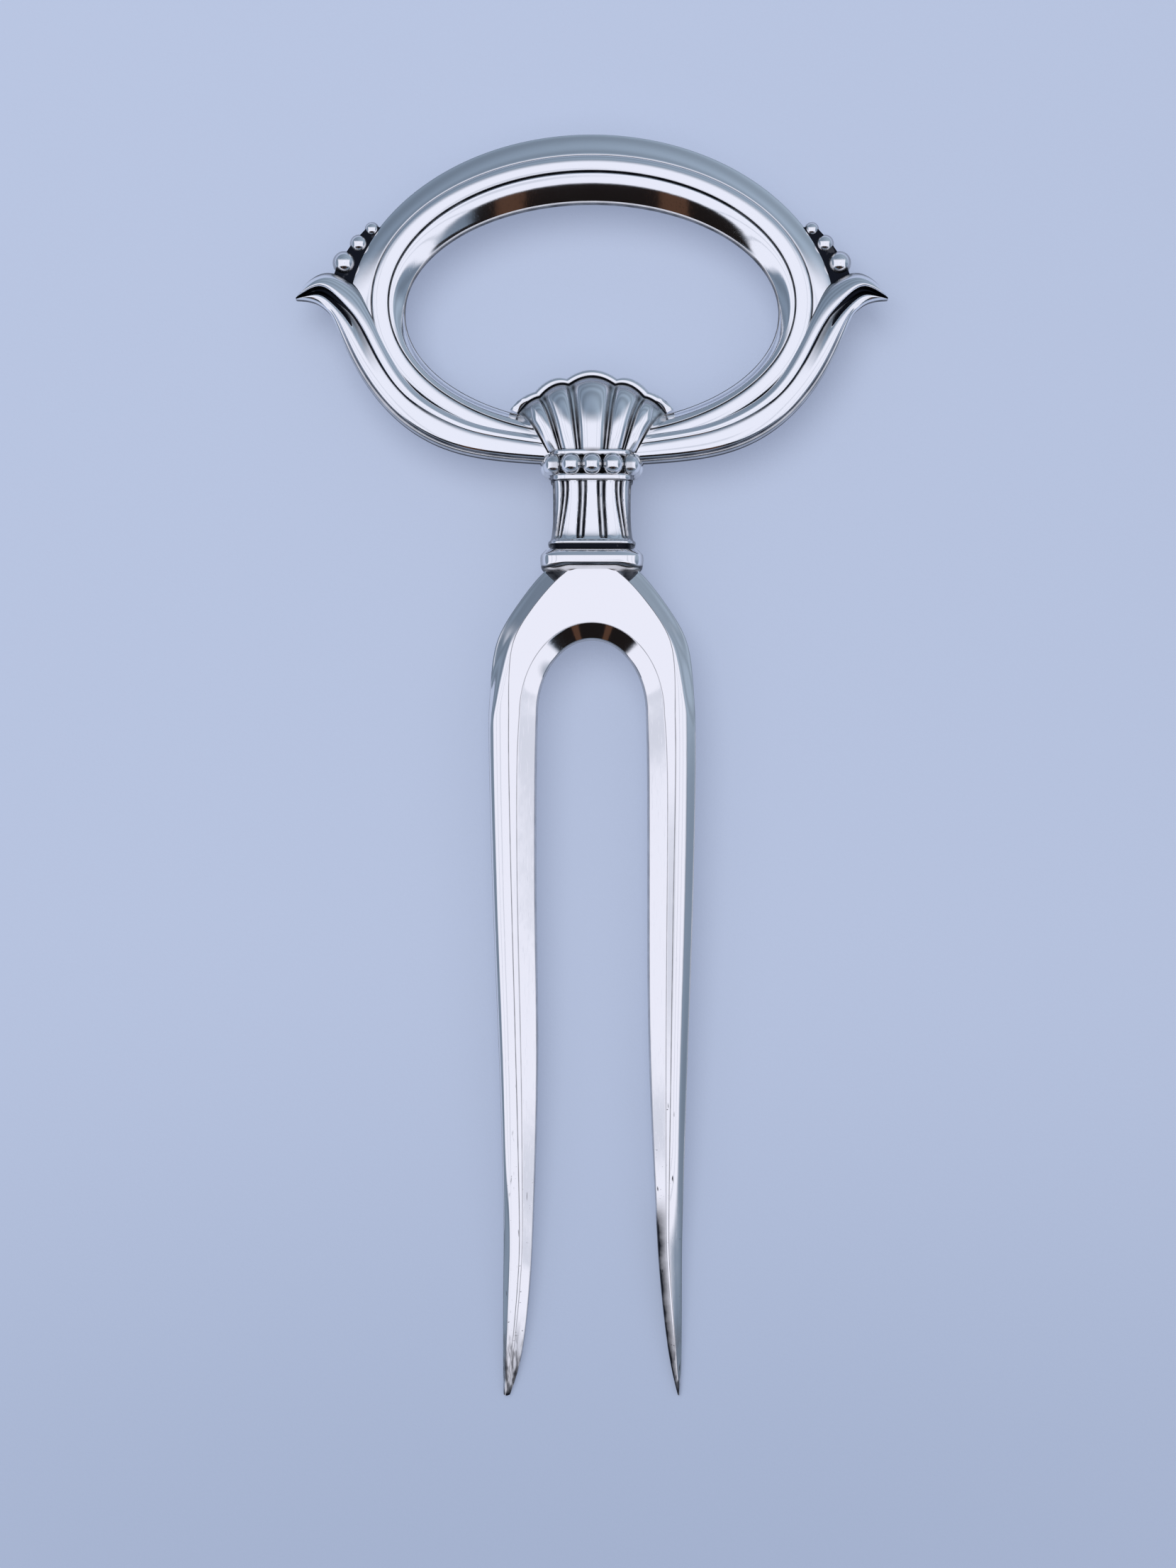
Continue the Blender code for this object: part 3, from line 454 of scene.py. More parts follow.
def fan_skin(side):
    """The fan of five lobes with its scalloped rim."""
    lobe_line = spline(FAN_LOBE_SHAPE, np.linspace(0, len(FAN_LOBE_SHAPE) - 1, 200))
    columns = []
    for low, high, scallop in zip(FAN_LOBES, FAN_LOBES[1:], FAN_SCALLOP):
        step = np.linspace(-1, 1, FAN_LOBE_COLUMNS, endpoint=False)
        full = np.interp(np.abs(step), lobe_line[:, 0], lobe_line[:, 1])
        columns.append(np.stack((
            (low + high) / 2 + step * (high - low) / 2, full, scallop * (1 - step ** 2), np.abs(step)), -1))
    columns.append(np.array(((1.0, lobe_line[-1, 1], 0.0, 1.0),)))
    q, full, scallop, edge = np.concatenate(columns).T
    base, spread, flare = FAN_WIDTH
    rows = np.concatenate((runs_of(FAN_RUNS), ((1.0, SEAM, 0, 0),)))
    p, height, fall, share = (column[:, None] for column in rows.T)
    half_width = base + spread * p + flare * p ** 6
    rim = FAN_RIM_Y - FAN_RIM_SAG * (q * (base + spread + flare)) ** 2 + scallop
    y = FAN_BASE_Y + (rim[None, :] - FAN_BASE_Y) * p
    corner = 1 - FAN_CORNER * smooth_step(0.84, 1, np.abs(q))[None, :] * smooth_step(0.6, 0.92, p)
    z = (height * (1 - fall * q ** 2) + FAN_LOBE_RISE * share * full) * corner
    rings = np.stack((q[None, :] * half_width, y, side * z), -1)
    foot = rings[:, (-1, 0)].copy()
    foot[..., 2] = side * SEAM
    rings = np.concatenate((rings, foot), 1)
    # Painted shade, with the oxide the grooves hold: dark grooves between the lobes, a dark line under the rim
    # and a greyer band below it, and a dark line along the base.
    groove_dark = smooth_step(0.91, 0.82, p) * (0.95 - 0.4 * smooth_step(0.2, 0.7, p))
    groove = groove_dark * bump_at(edge, 0.86, 0.1)[None, :]
    under_rim = bump_at(p, 0.906, 0.014) + 0.32 * smooth_step(0.76, 0.86, p) * smooth_step(0.922, 0.91, p)
    shadow = groove + under_rim + 0.7 * smooth_step(0.05, 0.0, p)
    shadow = np.concatenate((shadow, np.zeros((len(p), 2))), 1)
    return skin(rings, shadow)


def web_skin(hand, side):
    """The small web under the shoulder beads, made fully dark: painted shade and oxide in the hollow behind
    them.
    """
    outline = np.array(WEB_OUTLINE) * (hand, 1)
    rings = [np.column_stack((outline, np.full(len(outline), side * z))) for z in (SEAM, WEB_HEIGHT)]
    return skin(np.array(rings), 1.0)


def stem_blank_skin():
    """The stem as turned, before its reeds are cut."""
    profile = runs_of(STEM_RUNS)
    shape, around = rounded_box(1, STEM_DEPTH, STEM_SQUARENESS, STEM_COLUMNS)
    y, r = profile[:, 0][:, None], profile[:, 1][:, None]
    rings = np.stack((r * shape[:, 0], np.broadcast_to(y, (len(y), STEM_COLUMNS)), r * shape[:, 1]), -1)
    # Painted shade: dark under the bead band, a dark line at the head of the reeds, and darker flanks.
    channel = 0.8 * smooth_step(7.5, 7.1, r) * smooth_step(56, 57, y)
    reed_ends = 0.8 * bump_at(y, 55.4, 0.12)
    flanks = 0.65 * smooth_step(0.86, 0.95, np.abs(shape[:, 0]))[None, :]
    turn = np.arange(STEM_COLUMNS) / STEM_COLUMNS
    turn = np.minimum(turn, 1 - turn)
    quarter = np.minimum(turn, 0.5 - turn) * around
    reeds = []
    for spread in 1 + REED_SPREAD * smooth_step(*REED_SPREAD_Y, profile[:, 0]):
        first, second = np.array(REED_PLACES) * spread
        number = np.interp(quarter, (0, first, second, around / 4), (0, 1, 2, REED_COUNT / 4))
        reeds.append(np.where(turn > 0.25, REED_COUNT / 2 - number, number))
    return skin(rings, channel + reed_ends + flanks), np.concatenate(reeds)


def collar_skin():
    """The rounded, slightly four-sided collar with its neck."""
    profile = runs_of(COLLAR_RUNS)
    shape, _ = rounded_box(1, COLLAR_DEPTH, COLLAR_SQUARENESS, COLLAR_COLUMNS)
    y, w, d = (column[:, None] for column in profile.T)
    sideways = np.abs(shape[:, 0])[None, :]
    sag = COLLAR_SAG * smooth_step(0.5, 0.95, sideways) * smooth_step(40.6, 39.0, y)
    rings = np.stack((w * shape[:, 0], y - sag, d * shape[:, 1] / COLLAR_DEPTH), -1)
    # Painted shade: dark where the neck runs into the stem, along the lip and under it, and at the ends.
    neck = smooth_step(42.15, 42.35, y)
    lip = 0.8 * bump_at(y, 39.3, 0.18) + 0.3 * smooth_step(39.15, 38.95, y)
    ends = 0.45 * smooth_step(0.92, 0.99, sideways)
    return skin(rings, neck + lip + ends)


def fork_rails():
    """Outer edge, outer ridge, inner ridge and inner edge in plan from a tip to the middle of the fork.

    Half the thickness and the hand filing at each of their points follow.
    """
    at = np.linspace(0, len(TINE_OUTER) - 1, TINE_STATIONS)
    up = np.linspace(0, len(SHOULDER_OUTER) - 1, SHOULDER_STATIONS + 1)[1:]
    across = np.linspace(1, 0, TOP_STATIONS + 1)[1:, None]
    turns = np.concatenate((
        np.linspace(0, ARCH_SHARE, SHOULDER_STATIONS + 1)[1:],
        np.linspace(ARCH_SHARE, 1, TOP_STATIONS + 1)[1:])) * math.pi / 2

    def outside(tine, shoulder):
        top = np.array((shoulder[-1][0], SHOULDER_Y)) * np.concatenate((across, np.ones_like(across)), 1)
        return np.concatenate((spline(tine, at), spline(shoulder, up), top))

    def inside(tine, arch):
        bend = np.stack((arch[0] * np.cos(turns), TINE_ROOT_Y + arch[1] * np.sin(turns)), -1)
        return np.concatenate((spline(tine, at), bend))

    half = np.concatenate((spline(TINE_HALF_THICKNESS, at), np.full(len(turns), TINE_HALF_THICKNESS[-1])))
    stray = np.concatenate((spline(TINE_STRAY, at), np.zeros((len(turns), 3))))
    return (outside(TINE_OUTER, SHOULDER_OUTER), outside(TINE_RIDGE_OUTER, SHOULDER_RIDGE),
            inside(TINE_RIDGE_INNER, ARCH_RIDGE), inside(TINE_INNER, ARCH_INNER), half[:, None], stray)


def between(low, high, shares):
    """Shares of the way from one rail to the other, kept a little off both, and the points in plan there."""
    width = np.linalg.norm(high - low, axis=1)
    near = np.clip(RIDGE_ROUND / np.maximum(width, 1e-6), 0, 0.2)
    steps = near[:, None] + (1 - 2 * near[:, None]) * shares[None, :]
    return steps, low[:, None] + (high - low)[:, None] * steps[..., None]


def outer_side(hand, outer, ridge, half):
    """The filed outer side of a tine and of the shoulder; hand is 0 for the left tine and 1 for the right."""
    f, _ = between(outer, ridge, np.sort(np.append(
        np.linspace(0, 1, OUTER_COLUMNS) ** OUTER_CLOSER, OUTER_LAST)))
    f[:, 0] = 0
    along = ridge[:, 1:]
    start, higher, half_turn = OUTER_TURN
    plain = smooth_step(-half_turn, half_turn, along - start - higher * f)
    line = spline(OUTER_SIDE, np.linspace(0, len(OUTER_SIDE) - 1, 300)).T
    at_root = np.interp(f ** OUTER_FILED[hand], line[0], line[1])
    at_end, on_shoulder = (np.interp(f, line[0], line[k]) for k in (2 + hand, 4))
    on_tine = at_root + (at_end - at_root) * smooth_step(*OUTER_END, along)
    plan = outer[:, None] + (ridge - outer)[:, None] * f[..., None]
    return raised(plan, half * (on_tine * (1 - plain) + on_shoulder * plain))


def inner_side(ridge, inner, half):
    """The inner bevel of a tine and of the arch, and the narrow edge below it."""
    share, on_tine, on_arch = INNER_BREAK
    break_line = inner + (ridge - inner) * share
    steps, bevel = between(ridge, break_line, BEVEL_STEPS)
    drop = on_tine + (on_arch - on_tine) * smooth_step(*INNER_BREAK_Y, inner[:, 1:])
    edge = break_line[:, None] + (inner - break_line)[:, None] * EDGE_STEPS[None, :, None]
    return raised(bevel, half * (1 - (1 - drop) * steps)), raised(edge, half * drop * (1 - EDGE_STEPS ** 2))


def tine_sections(hand, outer, ridge_outer, ridge_inner, inner, half):
    """Closed sections of one tine and its half of the shoulder, from the tip to the middle of the fork."""
    def rounded(before, after, ridge):
        return 0.5 * raised(ridge[:, None], half) + 0.25 * (before + after)

    filed = outer_side(hand, outer, ridge_outer, half)
    flat = raised(between(ridge_outer, ridge_inner, FLAT_STEPS)[1], half)
    bevel, edge = inner_side(ridge_inner, inner, half)
    first = rounded(filed[:, -1:], flat[:, :1], ridge_outer)
    second = rounded(flat[:, -1:], bevel[:, :1], ridge_inner)
    top = np.concatenate((filed, first, flat, second, bevel, edge), 1)
    outermost, innermost = (raised(rail[:, None], 0) for rail in (outer, inner))
    return np.concatenate((outermost, top, innermost, top[:, ::-1] * (1, 1, -1)), 1)


def tine_tarnish():
    """Painted shade round a section: lines on its edges and ridges, and the dark inner bevel of the right
    tine.
    """
    filed, flat, bevel, edge = OUTER_COLUMNS + 1, len(FLAT_STEPS), len(BEVEL_STEPS), len(EDGE_STEPS)
    line = np.concatenate((
        (EDGE_LINE,), np.zeros(filed - 1), (RIDGE_LINE[0],), np.zeros(flat), (RIDGE_LINE[1],),
        np.zeros(bevel), np.full(edge, EDGE_LINE)))
    dark = np.concatenate((np.zeros(filed + flat + 2), np.linspace(0.3, 1, bevel), np.ones(edge)))
    return (np.concatenate(((EDGE_LINE,), line, (EDGE_LINE,), line[::-1])),
            np.concatenate(((0.0,), dark, (1.0,), dark[::-1])))


def fork_skins():
    """Both tines and the shoulder as one bar lofted from tip to tip, and the tang."""
    *rails, half, stray = fork_rails()
    outer, inner = rails[0], rails[-1]
    left, right = (tine_sections(hand, *rails, half) for hand in (0, 1))
    inward = (outer[:, :1] - right[..., 0]) / np.maximum(outer - inner, 1e-6)[:, :1]
    left[..., 0] += stray[:, :1] * inward
    right[..., 0] += stray[:, 1:2] * (1 - inward) + stray[:, 2:] * inward
    rings = np.concatenate((right, left[-2::-1] * (-1, 1, 1)))
    reach = np.clip((TINE_ROOT_Y - rings[..., 1]) / (TINE_ROOT_Y - TIP_Y), 0, None)
    rings[..., 2] -= TINE_DROP * reach ** TINE_DROP_POWER
    # Painted shade along ridges and edges, and on the right tine's inner bevel towards its tip.
    line, dark = tine_tarnish()
    shadow = np.tile(line, (len(rings), 1))
    by_tip = END_DARK * smooth_step(*END_DARK_Y, right[:, :1, 1])
    shadow[:len(right)] = np.maximum(shadow[:len(right)], by_tip * dark)
    tang = np.array([[(x * w, y, z * d) for x, z in SQUARE] for y, w, d in TANG_ENDS])
    return [skin(rings, shadow), skin(tang, 0.0)]


def feed(tree, target, feeds):
    """Set or link inputs of a node, given as (socket, value or output to link)."""
    for socket, value in feeds:
        if isinstance(value, bpy.types.NodeSocket):
            tree.links.new(value, target.inputs[socket])
        else:
            target.inputs[socket].default_value = value


def node(tree, kind, feeds=(), **settings):
    """A new node with its settings and inputs."""
    made = tree.nodes.new(kind)
    for name, value in settings.items():
        setattr(made, name, value)
    feed(tree, made, feeds)
    return made


def calc(tree, operation, a, b=0.0):
    return node(tree, "ShaderNodeMath", ((0, a), (1, b)), operation=operation).outputs[0]


def times(tree, a, b):
    return calc(tree, "MULTIPLY", a, b)


def fade(tree, value, low, high):
    """0 at low and 1 at high, smoothly."""
    return node(tree, "ShaderNodeMapRange", (
        (0, value), (1, low), (2, high)), interpolation_type="SMOOTHSTEP").outputs[0]


def slide(tree, value, start, end):
    """A value that changes evenly from start to end, each given as (place, value there)."""
    return node(tree, "ShaderNodeMapRange", (
        (0, value), (1, start[0]), (2, end[0]), (3, start[1]), (4, end[1]))).outputs[0]


def blend(tree, share, first, second):
    """A colour between two others."""
    return node(tree, "ShaderNodeMix", ((0, share), (6, first), (7, second)), data_type="RGBA").outputs[2]


def apart(tree, value, centre):
    return calc(tree, "ABSOLUTE", calc(tree, "SUBTRACT", value, centre))


def length(tree, vector):
    return node(tree, "ShaderNodeVectorMath", ((0, vector),), operation="LENGTH").outputs["Value"]


def noise(tree, place, scale, detail):
    return node(tree, "ShaderNodeTexNoise", (
        ("Vector", place), ("Scale", scale), ("Detail", detail))).outputs[0]


def sockets(tree, inputs, outputs):
    """Named sockets on a node group: inputs by their first value, or like the outputs by their kind alone."""
    for name, value in inputs.items():
        kind = SOCKET_KINDS.get(type(value), value)
        made = tree.interface.new_socket(name, in_out="INPUT", socket_type="NodeSocket" + kind)
        if kind is not value:
            made.default_value = value
    for name, kind in outputs.items():
        tree.interface.new_socket(name, in_out="OUTPUT", socket_type="NodeSocket" + kind)
    return tree.nodes.new("NodeGroupInput").outputs, tree.nodes.new("NodeGroupOutput").inputs


def tarnish_group():
    """Dark oxide left in the recesses, with painted shade in hollows, on steep walls and on rims: how much of
    it shows, broken up a little.
    """
    tree = bpy.data.node_groups.new("recess_tarnish", "ShaderNodeTree")
    given, out = sockets(tree, {
        "Recess": 0.0, "Patch size": 3 * MM, "Bare metal": (0.9, 0.9, 0.9, 1),
        "Oxide and shade": (0.012, 0.014, 0.02, 1),
    }, {"Color": "Color", "Oxide and shade mask": "Float"})
    place = node(tree, "ShaderNodeTexCoord").outputs["Object"]
    patch = noise(tree, place, calc(tree, "DIVIDE", 1.0, given["Patch size"]), 3.0)
    uneven = slide(tree, patch, (0.3, 0.95), (0.7, 1.35))
    mask = node(tree, "ShaderNodeClamp", ((0, times(tree, given["Recess"], uneven)),)).outputs[0]
    tree.links.new(blend(tree, mask, given["Bare metal"], given["Oxide and shade"]), out["Color"])
    tree.links.new(mask, out["Oxide and shade mask"])
    return tree


def polish_group():
    """Hand polishing: slow waves in the surface, fine hairlines, and a haze that changes over it."""
    tree = bpy.data.node_groups.new("hand_polish", "ShaderNodeTree")
    given, out = sockets(tree, {
        "Wave length": 4 * MM, "Hairline width": 0.12 * MM, "Hairline share": 0.1, "Haze scale": 55.0,
    }, {"Height": "Float", "Haze": "Float"})
    place = node(tree, "ShaderNodeTexCoord").outputs["Object"]
    wave = noise(tree, place, calc(tree, "DIVIDE", 1.0, given["Wave length"]), 2.0)
    turned = node(tree, "ShaderNodeMapping", (
        ("Vector", place), ("Rotation", (0, 0, 0.35)), ("Scale", (1.0, 0.05, 1.0)))).outputs[0]
    hair = noise(tree, turned, calc(tree, "DIVIDE", 0.5, given["Hairline width"]), 1.0)
    cut = times(tree, fade(tree, hair, 0.62, 0.75), given["Hairline share"])
    tree.links.new(calc(tree, "SUBTRACT", wave, cut), out["Height"])
    tree.links.new(noise(tree, place, given["Haze scale"], 4.0), out["Haze"])
    return tree


def wear_group():
    """Use: nicks and short scratches in patches, more of them towards the tip, and the streaked tip."""
    tree = bpy.data.node_groups.new("tine_wear", "ShaderNodeTree")
    given, out = sockets(tree, {
        "Start": -45 * MM, "Tip": TIP_Y * MM, "Nick size": 0.8 * MM, "Patch size": 6 * MM, "Nick dark": 0.8,
    }, {"Mask": "Float"})
    place = node(tree, "ShaderNodeTexCoord").outputs["Object"]
    along = node(tree, "ShaderNodeSeparateXYZ", ((0, place),)).outputs[1]

    def grain(size, stretch, shift, detail):
        moved = node(tree, "ShaderNodeMapping", (
            ("Vector", place), ("Location", (shift, 0, 0)), ("Scale", (1, stretch, 1)))).outputs[0]
        return noise(tree, moved, calc(tree, "DIVIDE", 1.0, size), detail)

    worn = slide(tree, along, (given["Start"], 0.0), (given["Tip"], 1.0))
    patch = grain(given["Patch size"], 1.0, 0.1, 2.0)
    marked = fade(tree, calc(tree, "ADD", patch, times(tree, worn, 0.2)), 0.58, 0.66)
    long_nick = fade(tree, grain(given["Nick size"], 0.2, 0.2, 1.0), 0.7, 0.8)
    short_nick = fade(tree, grain(given["Nick size"], 2.5, 0.3, 1.0), 0.72, 0.8)
    nicks = times(tree, calc(tree, "MAXIMUM", long_nick, short_nick), times(tree, marked, given["Nick dark"]))
    streak = fade(tree, grain(given["Nick size"], 0.15, 0.4, 2.0), 0.42, 0.6)
    end = fade(tree, along, *(calc(tree, "ADD", given["Tip"], reach * MM) for reach in (18, 3)))
    tip = times(tree, end, calc(tree, "ADD", times(tree, streak, 0.55), 0.2))
    mask = times(tree, calc(tree, "MAXIMUM", nicks, tip), calc(tree, "GREATER_THAN", worn, 0.001))
    tree.links.new(mask, out["Mask"])
    return tree


def new_finish(name):
    """A material, its node tree and its shader."""
    finish = bpy.data.materials.new(name)
    finish.use_nodes = True
    return finish, finish.node_tree, finish.node_tree.nodes["Principled BSDF"]


def silver(name, bare, rough, wave_height, worn=False):
    """Polished silver plate with dark oxide and painted shade in its recesses, on walls and rims, and on
    request with wear towards the tips.
    """
    finish, tree, shader = new_finish(name)
    recess = node(tree, "ShaderNodeAttribute", attribute_name="tarnish").outputs["Fac"]
    if worn:
        wear = node(tree, "ShaderNodeGroup", node_tree=WEAR)
        recess = calc(tree, "MAXIMUM", recess, wear.outputs["Mask"])
    oxide_and_shade = node(tree, "ShaderNodeGroup", node_tree=OXIDE_AND_SHADE)
    feed(tree, oxide_and_shade, (("Recess", recess), ("Bare metal", (*bare, 1))))
    polish = node(tree, "ShaderNodeGroup", node_tree=POLISH)
    haze = slide(tree, polish.outputs["Haze"], (0.3, rough * HAZE_SHARE[0]), (0.7, rough * HAZE_SHARE[1]))
    dull = node(tree, "ShaderNodeMix", ((0, oxide_and_shade.outputs["Oxide and shade mask"]), (2, haze), (3, OXIDE_AND_SHADE_ROUGHNESS)))
    bump = node(tree, "ShaderNodeBump", (
        ("Height", polish.outputs["Height"]), ("Strength", 1.0), ("Distance", wave_height)))
    feed(tree, shader, (
        ("Metallic", 1.0), ("Base Color", oxide_and_shade.outputs["Color"]), ("Roughness", dull.outputs[0]),
        ("Normal", bump.outputs[0])))
    return finish


def cement_finish():
    """Brown setting cement, seen only inside the stem."""
    finish, tree, shader = new_finish("setting_cement")
    place = node(tree, "ShaderNodeTexCoord").outputs["Object"]
    grain = noise(tree, place, 900.0, 5.0)
    bump = node(tree, "ShaderNodeBump", (("Height", grain), ("Distance", 0.2 * MM)))
    feed(tree, shader, (
        ("Base Color", blend(tree, grain, *CEMENT_TONES)), ("Roughness", 0.85), ("Normal", bump.outputs[0])))
    return finish


def geometry_tree(name, inputs):
    """A Geometry Nodes tree that takes a mesh, the inputs and a finish, and the socket that it ends in."""
    tree = bpy.data.node_groups.new(name, "GeometryNodeTree")
    given, out = sockets(
        tree, {"Geometry": "Geometry", **inputs, "Finish": "Material"}, {"Geometry": "Geometry"})
    return tree, given, out["Geometry"]


def stored(tree, name, kind):
    return node(tree, "GeometryNodeInputNamedAttribute", (("Name", name),), data_type=kind).outputs[0]


def store(tree, geometry, name, value, kind):
    return node(tree, "GeometryNodeStoreNamedAttribute", (
        ("Geometry", geometry), ("Name", name), ("Value", value)), data_type=kind, domain="POINT").outputs[0]


def grown(name, source, tree, values):
    """The plain mesh that a Geometry Nodes tree makes of the source mesh with the named values."""
    start = shown(name + "_start", source)
    modifier = start.modifiers.new(tree.name, "NODES")
    modifier.node_group = tree
    for item in tree.interface.items_tree:
        if item.in_out == "INPUT" and item.name in values:
            modifier[item.identifier] = values[item.name]
    graph = bpy.context.evaluated_depsgraph_get()
    mesh = bpy.data.meshes.new_from_object(start.evaluated_get(graph), depsgraph=graph)
    mesh.name = name
    bpy.data.objects.remove(start, do_unlink=True)
    return finish_mesh(name, mesh, SHARP_ANGLE)


def reed_tree():
    """Cuts pairs of grooves with a thin fillet between them along a turned stem, narrower at its foot."""
    tree, given, out = geometry_tree("stem_reeds", {
        "Reeds": REED_COUNT, "Groove depth": 0.5 * MM, "Groove dark": 0.9, "Groove share at head": 0.5,
        "Groove share at foot": 0.36, "Reed crown": 0.4 * MM, "Low end": 44.1 * MM, "High end": 55.3 * MM,
    })
    spot = node(tree, "GeometryNodeInputPosition").outputs[0]
    y = node(tree, "ShaderNodeSeparateXYZ", ((0, spot),)).outputs[1]
    place = stored(tree, "reed", "FLOAT")
    off = times(tree, 2.0, apart(tree, calc(tree, "FRACT", place), 0.5))
    at_foot, at_head = given["Groove share at foot"], given["Groove share at head"]
    share = slide(tree, y, (given["Low end"], at_foot), (given["High end"], at_head))
    near = node(tree, "ShaderNodeClamp", ((0, calc(tree, "DIVIDE", off, share)),)).outputs[0]
    double = calc(tree, "SINE", times(tree, calc(tree, "POWER", near, 1.5), math.pi))
    number = calc(tree, "ROUND", place)
    half_turn = calc(tree, "DIVIDE", times(tree, number, 2 * math.pi), given["Reeds"])
    broad = fade(tree, calc(tree, "ABSOLUTE", calc(tree, "SINE", half_turn)), 0.3, 0.1)
    power = calc(tree, "ADD", 2.0, times(tree, broad, 5.0))
    crown = calc(tree, "POWER", calc(tree, "SUBTRACT", 1.0, off), power)
    low = fade(tree, y, given["Low end"], calc(tree, "ADD", given["Low end"], 0.8 * MM))
    high = fade(tree, y, given["High end"], calc(tree, "SUBTRACT", given["High end"], 0.25 * MM))
    within = times(tree, low, high)
    cut = times(tree, double, within)
    depth = calc(tree, "ADD", times(tree, cut, given["Groove depth"]),
                 times(tree, times(tree, crown, within), given["Reed crown"]))
    shift = node(tree, "ShaderNodeVectorMath", (
        (0, node(tree, "GeometryNodeInputNormal").outputs[0]), ("Scale", times(tree, depth, -1.0))),
        operation="SCALE").outputs[0]
    # Painted shade, with oxide, in the grooves, on top of the blank's own.
    dark = calc(tree, "MAXIMUM", stored(tree, "tarnish", "FLOAT"), times(tree, cut, given["Groove dark"]))
    shaded = store(tree, given["Geometry"], "tarnish", dark, "FLOAT")
    cut_stem = node(tree, "GeometryNodeSetPosition", (("Geometry", shaded), ("Offset", shift)))
    real = node(tree, "GeometryNodeRealizeInstances", ((0, cut_stem.outputs[0]),)).outputs[0]
    done = node(tree, "GeometryNodeSetMaterial", (("Geometry", real), ("Material", given["Finish"])))
    tree.links.new(done.outputs[0], out)
    return tree


def bead_tree():
    """A bead on every point of the source, sized by its bead_radius, with painted shade round its seat and on
    its rim.
    """
    tree, given, out = geometry_tree("beads", {
        "Bead segments": 48, "Bead rings": 32, "Seat line": 0.06, "Seat dark": 1.0, "Clear line": 0.78,
        "Rim shade": 0.42, "Wire radius": 0.0,
    })
    ball = node(tree, "GeometryNodeMeshUVSphere", (
        ("Segments", given["Bead segments"]), ("Rings", given["Bead rings"]), ("Radius", 1.0))).outputs[0]
    ball = store(tree, ball, "on_ball", node(tree, "GeometryNodeInputPosition").outputs[0], "FLOAT_VECTOR")
    size = stored(tree, "bead_radius", "FLOAT")
    beads = node(tree, "GeometryNodeInstanceOnPoints", (
        ("Points", given["Geometry"]), ("Instance", ball), ("Scale", size))).outputs[0]
    path = node(tree, "GeometryNodeMeshToCurve", (("Mesh", given["Geometry"]),)).outputs[0]
    rod = node(tree, "GeometryNodeCurvePrimitiveCircle", (
        ("Resolution", 16), ("Radius", given["Wire radius"]))).outputs[0]
    wire = node(tree, "GeometryNodeCurveToMesh", (("Curve", path), ("Profile Curve", rod))).outputs[0]
    joined = node(tree, "GeometryNodeJoinGeometry")
    tree.links.new(beads, joined.inputs[0])
    tree.links.new(wire, joined.inputs[0])
    real = node(tree, "GeometryNodeRealizeInstances", ((0, joined.outputs[0]),)).outputs[0]
    spot, way = (stored(tree, name, "FLOAT_VECTOR") for name in ("on_ball", "seat_way"))
    stand = node(tree, "ShaderNodeVectorMath", ((0, spot), (1, way)), operation="DOT_PRODUCT")
    stand = calc(tree, "ABSOLUTE", stand.outputs["Value"])
    rim = fade(tree, stand, given["Clear line"], calc(tree, "SUBTRACT", given["Clear line"], 0.2))
    seat = fade(tree, stand, given["Seat line"], times(tree, given["Seat line"], 0.5))
    seat = times(tree, seat, given["Seat dark"])
    dark = calc(tree, "MAXIMUM", seat, times(tree, rim, given["Rim shade"]))
    shaded = store(tree, real, "tarnish", dark, "FLOAT")
    done = node(tree, "GeometryNodeSetMaterial", (("Geometry", shaded), ("Material", given["Finish"])))
    tree.links.new(done.outputs[0], out)
    return tree


OXIDE_AND_SHADE = tarnish_group()
POLISH = polish_group()
WEAR = wear_group()
handle_silver = silver("handle_silver", *HANDLE_SILVER)
fork_silver = silver("fork_silver", *FORK_SILVER, worn=True)
bead_silver = silver("bead_silver", *BEAD_SILVER)


